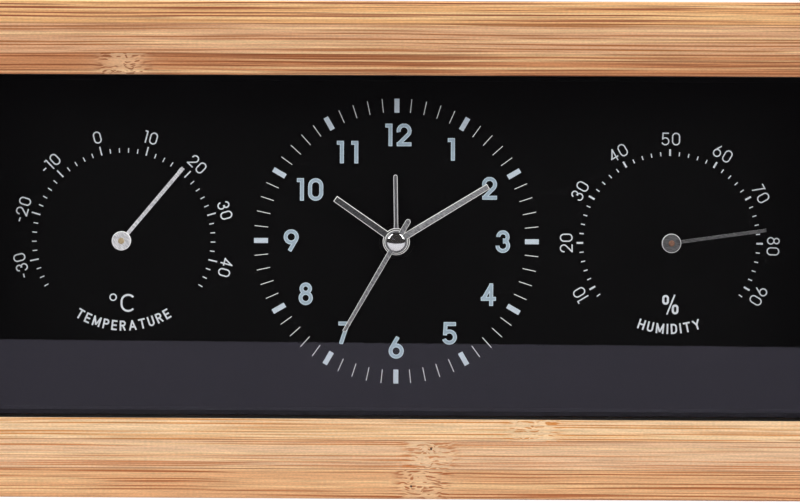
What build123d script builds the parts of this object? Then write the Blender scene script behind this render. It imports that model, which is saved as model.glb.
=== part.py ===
"""Desk clock with a thermometer and a hygrometer in a mitred bamboo frame. Millimetres.

+X is to the right of someone who reads the dial, +Z is up, and the dial looks towards -Y.
The origin lies on the ground, under the middle of the frame.
"""

from build123d import *
import math
import os

os.makedirs("parts", exist_ok=True)

# Frame
frame_depth = 45.0
top_board = 15.0
bottom_board = 16.25
side_board = 15.0
arris = 0.5

# Lens and dial stack, from the front edge of the frame backwards
lens_recess = 2.8
lens_thickness = 2.0
lens_seat = 2.2
groove_depth = 2.5
groove_play = 0.05
dial_gap = 5.4
spacer_wall = 1.0
dial_thickness = 0.5
backer_thickness = 2.5
dial_play = 0.2

# Room round the works and the two meters, which gives the frame its width and height
works_room_above = 6.7
works_room_below = 6.05
meter_gap = 5.8
meter_room = 29.2

# Clock works
works_above_hub = 27.0
works_below_hub = 29.0
works_depth = 16.0
case_wall = 1.2
case_corner = 3.0
collar_radius = 3.6
collar_play = 0.1
ear_width = 8.0
ear_reach = 7.0
ear_thickness = 1.5

# Wheels
wheel_face = 0.8
wheel_gap = 0.35
pinion_over = 0.1
plate_thickness = 1.0
plate_play = 0.6
pivot_radius = 0.4
pivot_play = 0.03
running_play = 0.05
pressure_angle = math.radians(20)
slim_share = 0.15
dedendum_share = 1.3
fast_module = 0.2
motion_module = 0.35
alarm_module = 0.3
cannon_teeth = 12
motion_teeth = 36
motion_pinion_teeth = 10
hour_teeth = 40
alarm_pinion_teeth = 14
alarm_teeth = 42
slow_pinion_teeth = 8
third_teeth = 60
centre_teeth = 64
fast_pinion_teeth = 10
seconds_teeth = 60
intermediate_teeth = 50
set_direction = 150
alarm_direction = 30
third_direction = 90
intermediate_direction = 210
rotor_direction = 190

# Nested tubes that carry the hands
seconds_arbor_radius = 0.5
tube_wall = 0.45
alarm_tube_wall = 0.6

# Hands, with lengths from the hub
hand_thickness = 0.45
hand_edge = 0.14
hand_step = 0.9
alarm_hand_clear = 1.0
alarm_hand_length = 13.6
alarm_hand_width = 0.84
alarm_hand_flare = 1.0
alarm_flare_root_share = 0.75
alarm_boss_radius = 2.65
hour_hand_length = 15.2
hour_hand_width = 1.5
hour_hand_tip = 1.32
hour_boss_radius = 2.75
minute_hand_length = 21.85
minute_hand_width = 1.42
minute_hand_tip = 1.18
minute_boss_radius = 2.4
second_hand_length = 21.0
second_hand_width = 1.02
second_hand_tip = 0.74
second_hand_thickness = 0.3
second_hand_edge = 0.08
second_tail_length = 5.3
second_tail_width = 1.06
second_boss_radius = 1.7
cap_radius = 1.97
cap_rim = 0.3
cap_height = 0.95
hour_angle = 304.9
minute_angle = 58.7
second_angle = 210.0
alarm_angle = 359.0

# Set knobs on the back
set_shaft_radius = 0.8
knob_radius = 4.5
knob_height = 6.0
knob_lift = 0.5
knob_bore_depth = 4.5
knob_groove_radius = 0.4
knob_groove_count = 18
knob_edge = 0.5

# Drive: rotor, stator and coil
magnet_radius = 2.0
magnet_length = 2.0
stator_hole_radius = 2.6
stator_thickness = 1.2
stator_left = 22.8
stator_right = 8.5
stator_bar_left = 15.5
stator_reach = 10.9
stator_arm = 2.9
core_width = 3.0
core_middle = 21.0
bobbin_reach = 7.6
bobbin_flange = 0.8
bobbin_flange_radius = 2.8
bobbin_tube_radius = 1.9
winding_radius = 2.55

# Circuit, buzzer and battery
board_left = 10.0
board_right = 22.8
board_low = 10.5
board_high = 6.5
board_thickness = 1.0
board_post = 0.6
board_post_radius = 1.2
board_post_inset = 1.8
crystal_radius = 1.0
crystal_length = 6.0
crystal_x = 13.0
chip_radius = 3.0
chip_height = 1.1
chip_x = 17.0
chip_drop = 5.0
buzzer_x = 16.0
buzzer_up = 16.3
buzzer_radius = 8.8
buzzer_thickness = 0.3
buzzer_seat_wall = 1.0
sound_hole_radius = 0.8
sound_hole_circle = 4.0
sound_hole_count = 6
battery_radius = 7.25
battery_length = 49.5
battery_end_room = 3.25
battery_nub_radius = 2.75
battery_nub_length = 1.0
battery_shift = 0.25
battery_play = 0.25
bay_wall = 1.0
contact_size = 9.0
contact_thickness = 0.3
contact_dimple_radius = 2.5
leaf_thickness = 0.2
leaf_inner = 2.5
leaf_outer = 18.0
leaf_low = 6.5
leaf_high = 5.0
leaf_post_radius = 1.2
leaf_post_x = 16.5

# Back cover, door and alarm switch
cover_gap = 0.3
cover_thickness = 2.0
cover_play = 0.3
cover_corner = 1.0
cover_hole_radius = 1.3
door_width = 54.0
door_height = 15.5
door_play = 0.25
door_corner = 1.5
door_notch_radius = 4.0
door_notch_depth = 0.8
door_rib_count = 4
door_rib_width = 0.6
door_rib_pitch = 1.6
switch_x = -15.0
switch_up = 16.0
switch_travel = 3.0
switch_stem_width = 1.6
switch_stem_height = 3.0
switch_cap_width = 4.0
switch_cap_height = 5.0
switch_cap_thickness = 1.0
switch_rib_height = 1.4
switch_rib_width = 1.2
switch_play = 0.2
switch_paddle_thickness = 0.8
vent_count = 5
vent_width = 1.4
vent_length = 14.0
vent_pitch = 4.0
block_size = 10.0

# Screws
cover_screw_head = 2.4
cover_screw_head_height = 1.0
cover_screw_radius = 1.2
cover_screw_length = 10.0
works_screw_head = 2.0
works_screw_head_height = 1.1
works_screw_radius = 1.0
works_screw_bite = 1.9
screw_play = 0.02
screw_hole_play = 0.2
screw_slot_share = 0.3
pilot_over = 0.3

# Thermometer and hygrometer
cup_radius = 15.0
cup_height = 8.0
cup_ear_reach = 5.0
cup_ear_radius = 2.6
bush_radius = 1.1
staff_radius = 0.4
collet_radius = 1.2
coil_pitch = 1.8
coil_strip = 0.4
coil_turns = 5
coil_width = 4.0
coil_lift = 1.0
anchor_size = 1.6
anchor_gap = 0.05
needle_stand_off = 3.5
needle_thickness = 0.3
needle_length = 19.4
needle_disc_radius = 1.95
needle_disc_thickness = 0.7
needle_disc_edge = 0.15
thermometer_needle_width = 0.76
hygrometer_needle_width = 0.66
rivet_radius = 0.62
rivet_height = 0.3
thermometer_angle = 40.0
hygrometer_angle = 82.0

overrun = 1.0

# Depths worked out from the stack
front = -frame_depth / 2
rear = frame_depth / 2
lens_front = front + lens_recess
lens_back = lens_front + lens_thickness
dial_front = lens_back + dial_gap
dial_back = dial_front + dial_thickness
backer_back = dial_back + backer_thickness
works_back = backer_back + works_depth
cover_front = works_back + cover_gap
cover_back = cover_front + cover_thickness

hub_height = bottom_board + works_room_below + works_below_hub
works_width = battery_length + 2 * battery_end_room
meter_offset = works_width / 2 + ear_reach + meter_gap + cup_radius
opening_width = 2 * (meter_offset + meter_room)
opening_low = bottom_board
opening_high = hub_height + works_above_hub + works_room_above
opening_height = opening_high - opening_low
frame_width = opening_width + 2 * side_board
frame_height = opening_high + top_board
opening_middle = (opening_low + opening_high) / 2


def facing(depth, x=0, z=0, clock_angle=0):
    """A plane at this depth that looks at the reader, its own up turned clockwise by an angle."""
    turn = math.radians(clock_angle)
    return Plane(origin=(x, depth, z), x_dir=(math.cos(turn), 0, -math.sin(turn)), z_dir=(0, -1, 0))


def round_bar(low, high, radius, x, z, mode=Mode.ADD):
    """A round stretch along the depth, from low to high."""
    with BuildSketch(facing(high, x, z)) as section:
        Circle(radius)
    extrude(section.sketch, amount=high - low, mode=mode)


def block(low, high, left, right, bottom, top, mode=Mode.ADD):
    """A square-cornered stretch along the depth, from low to high."""
    with BuildSketch(facing(high, (left + right) / 2, (bottom + top) / 2)) as section:
        Rectangle(right - left, top - bottom)
    extrude(section.sketch, amount=high - low, mode=mode)


def polar(distance, direction):
    """X and Z of a point at this distance from the clock's hub."""
    turn = math.radians(direction)
    return distance * math.cos(turn), hub_height + distance * math.sin(turn)


def involute(angle):
    return math.tan(angle) - angle


def tooth_points(teeth, module, phase):
    """One closed outline of a gear, with slim involute teeth, the first one centred at the phase."""
    pitch = teeth * module / 2
    base = pitch * math.cos(pressure_angle)
    root = pitch - dedendum_share * module
    tip = pitch + module
    half_tooth = math.pi / teeth / 2 * (1 - slim_share)
    radii = sorted({root, max(base, root), pitch, (pitch + tip) / 2, tip})
    points = []
    for tooth in range(teeth):
        middle = math.radians(phase) + 2 * math.pi * tooth / teeth
        for side in (-1, 1):
            for radius in radii[::-side]:
                flank = involute(math.acos(min(1, base / radius)))
                turn = middle + side * (half_tooth + involute(pressure_angle) - flank)
                points.append((radius * math.cos(turn), radius * math.sin(turn)))
    return points


def cog(low, high, teeth, module, phase, x, z):
    """A toothed stretch along the depth, from low to high."""
    with BuildSketch(facing(high, x, z)) as outline:
        with BuildLine():
            Polyline(*tooth_points(teeth, module, phase), close=True)
        make_face()
    extrude(outline.sketch, amount=high - low)


def meshed_phase(phase, teeth, other_teeth, direction):
    """The phase that puts another gear in mesh, when it lies in this direction."""
    share = (direction - phase) * teeth / 360
    return direction + 180 + (share + 1 / 2) * 360 / other_teeth


def level(count, extra=0):
    """Front face of a layer of wheels, counted from the front wall of the works."""
    return backer_back + case_wall + wheel_gap + count * (wheel_face + wheel_gap) + extra


# The layers of the works, from the dial backwards
alarm_level = level(0)
hour_level = level(1)
motion_level = level(2)
centre_level = level(3)
plate_front = level(4)
plate_back = plate_front + plate_thickness
third_level = plate_back + wheel_gap
seconds_level = third_level + wheel_face + wheel_gap
intermediate_level = seconds_level + wheel_face + wheel_gap
magnet_level = intermediate_level + wheel_face + wheel_gap
case_floor = backer_back + case_wall
back_floor = works_back - case_wall

# Radii of the nested tubes
minute_bore = seconds_arbor_radius + running_play
minute_tube = minute_bore + tube_wall
hour_bore = minute_tube + running_play
hour_tube = hour_bore + tube_wall
alarm_bore = hour_tube + running_play
alarm_tube = alarm_bore + alarm_tube_wall
collar_bore = alarm_tube + running_play

# Distances between arbors
set_distance = (cannon_teeth + motion_teeth) * motion_module / 2
hour_module = 2 * set_distance / (motion_pinion_teeth + hour_teeth)
alarm_distance = (alarm_pinion_teeth + alarm_teeth) * alarm_module / 2
third_distance = (slow_pinion_teeth + centre_teeth) * fast_module / 2
third_module = 2 * third_distance / (slow_pinion_teeth + third_teeth)
intermediate_distance = (fast_pinion_teeth + seconds_teeth) * fast_module / 2
rotor_distance = (fast_pinion_teeth + intermediate_teeth) * fast_module / 2
set_x, set_z = polar(set_distance, set_direction)
alarm_x, alarm_z = polar(alarm_distance, alarm_direction)
third_x, third_z = polar(third_distance, third_direction)
intermediate_x, intermediate_z = polar(intermediate_distance, intermediate_direction)
rotor_x = intermediate_x + rotor_distance * math.cos(math.radians(rotor_direction))
rotor_z = intermediate_z + rotor_distance * math.sin(math.radians(rotor_direction))

# Hands, from the dial to the glass
alarm_hand_back = dial_front - alarm_hand_clear
hour_hand_back = alarm_hand_back - hand_step
minute_hand_back = hour_hand_back - hand_step
second_hand_back = minute_hand_back - hand_step
cap_back = second_hand_back - second_hand_thickness

# Works case, seen from the front
works_left = -works_width / 2
works_right = works_width / 2
works_bottom = hub_height - works_below_hub
works_top = hub_height + works_above_hub
works_middle = (works_bottom + works_top) / 2
inner_left = works_left + case_wall
inner_right = works_right - case_wall
inner_bottom = works_bottom + case_wall
inner_top = works_top - case_wall
battery_z = inner_bottom + battery_play + battery_radius
battery_y = case_floor + battery_play + battery_radius
bay_top = battery_z + battery_radius + battery_play
room_bottom = bay_top + bay_wall
post_radius = 1.3
post_inset = 2.3
post_low = room_bottom + post_radius + plate_play
post_places = [
    (inner_left + post_inset, inner_top - post_inset),
    (inner_right - post_inset, inner_top - post_inset),
    (inner_left + post_inset, post_low),
    (inner_right - post_inset, post_low),
]
ear_x = works_width / 2 + ear_reach / 2

# Frame boards, mitred at the corners, with a groove for the lens
half_width = frame_width / 2
half_opening = opening_width / 2
board_outlines = {
    "frame_top": [
        (-half_width, frame_height),
        (half_width, frame_height),
        (half_opening, opening_high),
        (-half_opening, opening_high),
    ],
    "frame_bottom": [
        (-half_width, 0),
        (half_width, 0),
        (half_opening, opening_low),
        (-half_opening, opening_low),
    ],
    "frame_left": [
        (-half_width, 0),
        (-half_width, frame_height),
        (-half_opening, opening_high),
        (-half_opening, opening_low),
    ],
    "frame_right": [
        (half_width, 0),
        (half_width, frame_height),
        (half_opening, opening_high),
        (half_opening, opening_low),
    ],
}
for board_name, corners in board_outlines.items():
    with BuildPart() as frame_board:
        with BuildSketch(facing(rear)):
            with BuildLine():
                Polyline(*corners, close=True)
            make_face()
        extrude(amount=frame_depth)
        long_way = Axis.Z if corners[0][0] == corners[1][0] else Axis.X
        fillet(frame_board.edges().filter_by(long_way), arris)
        with BuildSketch(facing(lens_back + groove_play, 0, opening_middle)):
            Rectangle(opening_width + 2 * groove_depth, opening_height + 2 * groove_depth)
        extrude(amount=lens_thickness + 2 * groove_play, mode=Mode.SUBTRACT)
    frame_board.part.label = board_name
    export_step(frame_board.part, f"parts/{board_name}.step")

# Clear sheet, held by its edges in the frame's groove
with BuildPart() as lens:
    with BuildSketch(facing(lens_back, 0, opening_middle)):
        Rectangle(opening_width + 2 * lens_seat, opening_height + 2 * lens_seat)
    extrude(amount=lens_thickness)
lens.part.label = "lens"
export_step(lens.part, "parts/lens.step")

# Black strips between the lens and the dial
spacer_shift = (opening_height - spacer_wall) / 2
spacer_side = (opening_width - spacer_wall) / 2
spacer_strips = {
    "spacer_top": (0, opening_middle + spacer_shift, opening_width, spacer_wall),
    "spacer_bottom": (0, opening_middle - spacer_shift, opening_width, spacer_wall),
    "spacer_left": (-spacer_side, opening_middle, spacer_wall, opening_height - 2 * spacer_wall),
    "spacer_right": (spacer_side, opening_middle, spacer_wall, opening_height - 2 * spacer_wall),
}
for strip_name, (strip_x, strip_z, strip_width, strip_height) in spacer_strips.items():
    with BuildPart() as spacer:
        with BuildSketch(facing(dial_front, strip_x, strip_z)):
            Rectangle(strip_width, strip_height)
        extrude(amount=dial_gap)
    spacer.part.label = strip_name
    export_step(spacer.part, f"parts/{strip_name}.step")

# Printed dial sheet, with holes for the collar and for both needle staffs
with BuildPart() as dial_face:
    with BuildSketch(facing(dial_back, 0, opening_middle)):
        Rectangle(opening_width - 2 * dial_play, opening_height - 2 * dial_play)
    extrude(amount=dial_thickness)
    round_bar(dial_front, dial_back, collar_radius + collar_play, 0, hub_height, Mode.SUBTRACT)
    for side in (-1, 1):
        round_bar(
            dial_front, dial_back, bush_radius + collar_play, side * meter_offset, hub_height, Mode.SUBTRACT
        )
dial_face.part.label = "dial_face"
export_step(dial_face.part, "parts/dial_face.step")

# Board behind the dial, which carries the works and both meters
meter_screw_reach = cup_radius + cup_ear_reach - cup_ear_radius
works_screw_places = [(-ear_x, hub_height), (ear_x, hub_height)]
meter_screw_places = [
    (side * meter_offset, hub_height + up * meter_screw_reach) for side in (-1, 1) for up in (-1, 1)
]
pilot_front = backer_back - works_screw_bite - screw_play
with BuildPart() as dial_backer:
    with BuildSketch(facing(backer_back, 0, opening_middle)):
        Rectangle(opening_width - 2 * dial_play, opening_height - 2 * dial_play)
    extrude(amount=backer_thickness)
    round_bar(dial_back, backer_back, collar_radius + collar_play, 0, hub_height, Mode.SUBTRACT)
    for side in (-1, 1):
        round_bar(
            dial_back, backer_back, bush_radius + collar_play, side * meter_offset, hub_height, Mode.SUBTRACT
        )
    for screw_x, screw_z in works_screw_places + meter_screw_places:
        round_bar(
            pilot_front, backer_back, works_screw_radius + screw_play, screw_x, screw_z, Mode.SUBTRACT
        )
dial_backer.part.label = "dial_backer"
export_step(dial_backer.part, "parts/dial_backer.step")

# Wooden blocks in the four corners behind the dial board, which take the cover's screws
block_x = half_opening - block_size / 2
block_low = opening_low + block_size / 2
block_high = opening_high - block_size / 2
cover_screw_places = [(x, z) for x in (-block_x, block_x) for z in (block_low, block_high)]
cover_screw_tip = cover_back - cover_screw_length
with BuildPart() as corner_blocks:
    with BuildSketch(facing(cover_front, 0, 0)):
        with Locations(*cover_screw_places):
            Rectangle(block_size, block_size)
    extrude(amount=cover_front - backer_back)
    for screw_x, screw_z in cover_screw_places:
        round_bar(
            cover_screw_tip - pilot_over,
            cover_front,
            cover_screw_radius + screw_play,
            screw_x,
            screw_z,
            Mode.SUBTRACT,
        )
corner_blocks.part.label = "corner_blocks"
export_step(corner_blocks.part, "parts/corner_blocks.step")

# Moulded cover behind the works, with holes for the knobs, the switch, the battery and the sound
slot_middle = hub_height + switch_up + switch_travel / 2
slot_height = switch_stem_height + switch_travel + 2 * switch_play
slot_width = switch_stem_width + 2 * switch_play
cover_width = opening_width - 2 * cover_play
cover_height = opening_height - 2 * cover_play
buzzer_z = hub_height + buzzer_up
with BuildPart() as back_cover:
    with BuildSketch(facing(cover_back, 0, opening_middle)):
        RectangleRounded(cover_width, cover_height, cover_corner)
    extrude(amount=cover_thickness)
    with BuildSketch(facing(cover_back)):
        with Locations(*cover_screw_places):
            Circle(cover_screw_radius + screw_hole_play)
        with Locations((set_x, set_z), (alarm_x, alarm_z)):
            Circle(cover_hole_radius)
        with Locations((switch_x, slot_middle)):
            Rectangle(slot_width, slot_height)
        with Locations((0, battery_z)):
            RectangleRounded(door_width + 2 * door_play, door_height + 2 * door_play, door_corner + door_play)
        with Locations((buzzer_x, buzzer_z)):
            Circle(sound_hole_radius)
            with PolarLocations(sound_hole_circle, sound_hole_count):
                Circle(sound_hole_radius)
        for side in (-1, 1):
            with Locations((side * meter_offset, hub_height)):
                with GridLocations(vent_pitch, vent_length, vent_count, 1):
                    SlotOverall(vent_length, vent_width, rotation=90)
    extrude(amount=cover_thickness, mode=Mode.SUBTRACT)
back_cover.part.label = "back_cover"
export_step(back_cover.part, "parts/back_cover.step")

# Four screws that hold the cover to the corner blocks
with BuildPart() as cover_screws:
    for screw_x, screw_z in cover_screw_places:
        round_bar(cover_screw_tip, cover_back, cover_screw_radius, screw_x, screw_z)
        round_bar(cover_back, cover_back + cover_screw_head_height, cover_screw_head, screw_x, screw_z)
        slot_reach = cover_screw_head + overrun
        slot_half = cover_screw_head * screw_slot_share / 2
        for across, along in ((slot_reach, slot_half), (slot_half, slot_reach)):
            block(
                cover_back + cover_screw_head_height / 2,
                cover_back + cover_screw_head_height,
                screw_x - across,
                screw_x + across,
                screw_z - along,
                screw_z + along,
                Mode.SUBTRACT,
            )
cover_screws.part.label = "cover_screws"
export_step(cover_screws.part, "parts/cover_screws.step")

# Front half of the works case, with the collar that passes through the dial
with BuildPart() as front_case:
    with BuildSketch(facing(plate_back, 0, works_middle)):
        RectangleRounded(works_width, works_above_hub + works_below_hub, case_corner)
    extrude(amount=plate_back - backer_back)
    block(
        case_floor, plate_back, inner_left, inner_right, room_bottom, inner_top, Mode.SUBTRACT
    )
    block(case_floor, plate_back, inner_left, inner_right, inner_bottom, bay_top, Mode.SUBTRACT)
    for post_x, post_z in post_places:
        round_bar(case_floor, plate_front, post_radius, post_x, post_z)
    leaf_post_z = hub_height - (leaf_low + leaf_high) / 2
    leaf_back = motion_level + wheel_face
    round_bar(case_floor, leaf_back - leaf_thickness, leaf_post_radius, leaf_post_x, leaf_post_z)
    for side in (-1, 1):
        reach_in = works_width / 2 - case_wall / 2
        reach_out = works_width / 2 + ear_reach
        block(
            backer_back,
            backer_back + ear_thickness,
            min(side * reach_in, side * reach_out),
            max(side * reach_in, side * reach_out),
            hub_height - ear_width / 2,
            hub_height + ear_width / 2,
        )
        round_bar(
            backer_back,
            backer_back + ear_thickness,
            works_screw_radius + screw_hole_play,
            side * ear_x,
            hub_height,
            Mode.SUBTRACT,
        )
    round_bar(dial_front + collar_play, case_floor, collar_radius, 0, hub_height)
    round_bar(dial_front, case_floor, collar_bore, 0, hub_height, Mode.SUBTRACT)
    for shaft_x, shaft_z in ((set_x, set_z), (alarm_x, alarm_z)):
        round_bar(
            backer_back, case_floor, set_shaft_radius + pivot_play, shaft_x, shaft_z, Mode.SUBTRACT
        )
front_case.part.label = "front_case"
export_step(front_case.part, "parts/front_case.step")

# Plate across the middle of the works, which holds the front pivots of the fast wheels
with BuildPart() as mid_plate:
    block(
        plate_front,
        plate_back,
        inner_left + plate_play,
        inner_right - plate_play,
        room_bottom + plate_play / 2,
        inner_top - plate_play,
    )
    for pivot_x, pivot_z, pivot in (
        (0, hub_height, seconds_arbor_radius),
        (third_x, third_z, pivot_radius),
        (intermediate_x, intermediate_z, pivot_radius),
        (rotor_x, rotor_z, pivot_radius),
        (set_x, set_z, set_shaft_radius),
        (alarm_x, alarm_z, set_shaft_radius),
    ):
        round_bar(plate_front, plate_back, pivot + pivot_play, pivot_x, pivot_z, Mode.SUBTRACT)
mid_plate.part.label = "mid_plate"
export_step(mid_plate.part, "parts/mid_plate.step")

# Rear half of the works case, with the posts that clamp the plate and carry the stator and circuit
stator_front = magnet_level + (magnet_length - stator_thickness) / 2
stator_back = stator_front + stator_thickness
board_back = back_floor - board_post
board_front = board_back - board_thickness
board_posts = [
    (x, z)
    for x in (board_left + board_post_inset, board_right - board_post_inset)
    for z in (hub_height - board_low + board_post_inset, hub_height + board_high - board_post_inset)
]
stator_arm_middle = stator_reach - stator_arm / 2
stator_posts = [
    (x, hub_height + up * stator_arm_middle)
    for x in (-core_middle, -(stator_right + stator_arm / 2))
    for up in (-1, 1)
]
with BuildPart() as back_case:
    with BuildSketch(facing(works_back, 0, works_middle)):
        RectangleRounded(works_width, works_above_hub + works_below_hub, case_corner)
    extrude(amount=works_back - plate_back)
    block(plate_back, back_floor, inner_left, inner_right, room_bottom, inner_top, Mode.SUBTRACT)
    block(plate_back, works_back, inner_left, inner_right, inner_bottom, bay_top, Mode.SUBTRACT)
    for post_x, post_z in post_places:
        round_bar(plate_back, back_floor, post_radius, post_x, post_z)
    for post_x, post_z in board_posts:
        round_bar(board_back, back_floor, board_post_radius, post_x, post_z)
    for post_x, post_z in stator_posts:
        round_bar(stator_back, back_floor, board_post_radius, post_x, post_z)
    round_bar(back_floor - board_post, back_floor, buzzer_radius, buzzer_x, buzzer_z)
    round_bar(
        back_floor - board_post,
        back_floor,
        buzzer_radius - buzzer_seat_wall,
        buzzer_x,
        buzzer_z,
        Mode.SUBTRACT,
    )
    with BuildSketch(facing(works_back)):
        with Locations((buzzer_x, buzzer_z)):
            Circle(sound_hole_radius)
            with PolarLocations(sound_hole_circle, sound_hole_count):
                Circle(sound_hole_radius)
        with Locations((switch_x, slot_middle)):
            Rectangle(slot_width, slot_height)
        with Locations((set_x, set_z), (alarm_x, alarm_z)):
            Circle(set_shaft_radius + pivot_play)
        with Locations(
            (0, hub_height), (third_x, third_z), (intermediate_x, intermediate_z), (rotor_x, rotor_z)
        ):
            Circle(pivot_radius + pivot_play)
    extrude(amount=case_wall, mode=Mode.SUBTRACT)
back_case.part.label = "back_case"
export_step(back_case.part, "parts/back_case.step")

# Screws that hold the works and both meters to the dial board
screw_seats = {
    "works_screws": (works_screw_places, backer_back + ear_thickness),
    "meter_screws": (meter_screw_places, backer_back + case_wall),
}
for screws_name, (places, seat) in screw_seats.items():
    with BuildPart() as small_screws:
        for screw_x, screw_z in places:
            round_bar(backer_back - works_screw_bite, seat, works_screw_radius, screw_x, screw_z)
            round_bar(seat, seat + works_screw_head_height, works_screw_head, screw_x, screw_z)
            slot_reach = works_screw_head + overrun
            slot_half = works_screw_head * screw_slot_share / 2
            for across, along in ((slot_reach, slot_half), (slot_half, slot_reach)):
                block(
                    seat + works_screw_head_height / 2,
                    seat + works_screw_head_height,
                    screw_x - across,
                    screw_x + across,
                    screw_z - along,
                    screw_z + along,
                    Mode.SUBTRACT,
                )
    small_screws.part.label = screws_name
    export_step(small_screws.part, f"parts/{screws_name}.step")

# Phases that put every wheel in mesh at rest
seconds_phase = 0
slow_pinion_phase = 0
third_phase = meshed_phase(slow_pinion_phase, slow_pinion_teeth, third_teeth, third_direction)
third_pinion_phase = third_phase
centre_phase = meshed_phase(
    third_pinion_phase, slow_pinion_teeth, centre_teeth, third_direction + 180
)
intermediate_pinion_phase = meshed_phase(
    seconds_phase, seconds_teeth, fast_pinion_teeth, intermediate_direction
)
intermediate_phase = intermediate_pinion_phase
rotor_phase = meshed_phase(
    intermediate_phase, intermediate_teeth, fast_pinion_teeth, rotor_direction
)
cannon_phase = 0
motion_phase = meshed_phase(cannon_phase, cannon_teeth, motion_teeth, set_direction)
motion_pinion_phase = motion_phase
hour_phase = meshed_phase(
    motion_pinion_phase, motion_pinion_teeth, hour_teeth, set_direction + 180
)
alarm_phase = 0
alarm_pinion_phase = meshed_phase(alarm_phase, alarm_teeth, alarm_pinion_teeth, alarm_direction)

# Rotor of the step motor: a toothed plastic arbor and the round magnet on it
rotor_shoulder = magnet_level + magnet_length
with BuildPart() as rotor_arbor:
    round_bar(plate_front, works_back, pivot_radius, rotor_x, rotor_z)
    cog(
        intermediate_level - pinion_over,
        intermediate_level + wheel_face + pinion_over,
        fast_pinion_teeth,
        fast_module,
        rotor_phase,
        rotor_x,
        rotor_z,
    )
rotor_arbor.part.label = "rotor_arbor"
export_step(rotor_arbor.part, "parts/rotor_arbor.step")

with BuildPart() as rotor_magnet:
    round_bar(magnet_level, rotor_shoulder, magnet_radius, rotor_x, rotor_z)
    round_bar(magnet_level, rotor_shoulder, pivot_radius, rotor_x, rotor_z, Mode.SUBTRACT)
rotor_magnet.part.label = "rotor_magnet"
export_step(rotor_magnet.part, "parts/rotor_magnet.step")

# Wheel between the rotor and the seconds wheel
with BuildPart() as intermediate_wheel:
    round_bar(plate_front, works_back, pivot_radius, intermediate_x, intermediate_z)
    cog(
        seconds_level - pinion_over,
        intermediate_level,
        fast_pinion_teeth,
        fast_module,
        intermediate_pinion_phase,
        intermediate_x,
        intermediate_z,
    )
    cog(
        intermediate_level,
        intermediate_level + wheel_face,
        intermediate_teeth,
        fast_module,
        intermediate_phase,
        intermediate_x,
        intermediate_z,
    )
intermediate_wheel.part.label = "intermediate_wheel"
export_step(intermediate_wheel.part, "parts/intermediate_wheel.step")

# Seconds wheel on the long arbor that carries the second hand
arbor_front = cap_back - hand_edge
with BuildPart() as seconds_wheel:
    round_bar(arbor_front, third_level - pinion_over, seconds_arbor_radius, 0, hub_height)
    round_bar(seconds_level, works_back, pivot_radius, 0, hub_height)
    cog(
        third_level - pinion_over,
        seconds_level,
        slow_pinion_teeth,
        third_module,
        slow_pinion_phase,
        0,
        hub_height,
    )
    cog(
        seconds_level,
        seconds_level + wheel_face,
        seconds_teeth,
        fast_module,
        seconds_phase,
        0,
        hub_height,
    )
seconds_wheel.part.label = "seconds_wheel"
export_step(seconds_wheel.part, "parts/seconds_wheel.step")

# Wheel between the seconds arbor and the centre wheel
with BuildPart() as third_wheel:
    round_bar(plate_front, works_back, pivot_radius, third_x, third_z)
    cog(
        centre_level - pinion_over,
        plate_front - pinion_over,
        slow_pinion_teeth,
        fast_module,
        third_pinion_phase,
        third_x,
        third_z,
    )
    round_bar(plate_front - pinion_over, plate_front, pivot_radius, third_x, third_z)
    cog(
        third_level, third_level + wheel_face, third_teeth, third_module, third_phase, third_x, third_z
    )
third_wheel.part.label = "third_wheel"
export_step(third_wheel.part, "parts/third_wheel.step")

# Wheel that turns once an hour and slips on the minute pipe while the hands are set
with BuildPart() as centre_wheel:
    cog(
        centre_level, centre_level + wheel_face, centre_teeth, fast_module, centre_phase, 0, hub_height
    )
    round_bar(
        centre_level,
        centre_level + wheel_face,
        minute_tube + pivot_play,
        0,
        hub_height,
        Mode.SUBTRACT,
    )
centre_wheel.part.label = "centre_wheel"
export_step(centre_wheel.part, "parts/centre_wheel.step")

# Pipe with a pinion that carries the minute hand
minute_pipe_front = minute_hand_back - hand_thickness - hand_edge
with BuildPart() as minute_pipe:
    round_bar(minute_pipe_front, plate_front - pinion_over, minute_tube, 0, hub_height)
    cog(
        motion_level - pinion_over,
        motion_level + wheel_face + pinion_over,
        cannon_teeth,
        motion_module,
        cannon_phase,
        0,
        hub_height,
    )
    round_bar(minute_pipe_front, plate_front, minute_bore, 0, hub_height, Mode.SUBTRACT)
minute_pipe.part.label = "minute_pipe"
export_step(minute_pipe.part, "parts/minute_pipe.step")

# Shaft for setting the time, with the wheel and pinion between the minute pipe and the hour wheel
knob_front = cover_back + knob_lift
set_shaft_end = knob_front + knob_bore_depth
with BuildPart() as motion_wheel:
    round_bar(backer_back, hour_level, set_shaft_radius, set_x, set_z)
    cog(
        hour_level,
        motion_level,
        motion_pinion_teeth,
        hour_module,
        motion_pinion_phase,
        set_x,
        set_z,
    )
    cog(
        motion_level,
        motion_level + wheel_face,
        motion_teeth,
        motion_module,
        motion_phase,
        set_x,
        set_z,
    )
    round_bar(motion_level + wheel_face, set_shaft_end, set_shaft_radius, set_x, set_z)
motion_wheel.part.label = "motion_wheel"
export_step(motion_wheel.part, "parts/motion_wheel.step")

# Hour wheel on the tube that carries the hour hand
hour_tube_front = hour_hand_back - hand_thickness - hand_edge
with BuildPart() as hour_wheel:
    round_bar(hour_tube_front, hour_level, hour_tube, 0, hub_height)
    cog(
        hour_level, hour_level + wheel_face, hour_teeth, hour_module, hour_phase, 0, hub_height
    )
    round_bar(hour_tube_front, hour_level + wheel_face, hour_bore, 0, hub_height, Mode.SUBTRACT)
hour_wheel.part.label = "hour_wheel"
export_step(hour_wheel.part, "parts/hour_wheel.step")

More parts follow.
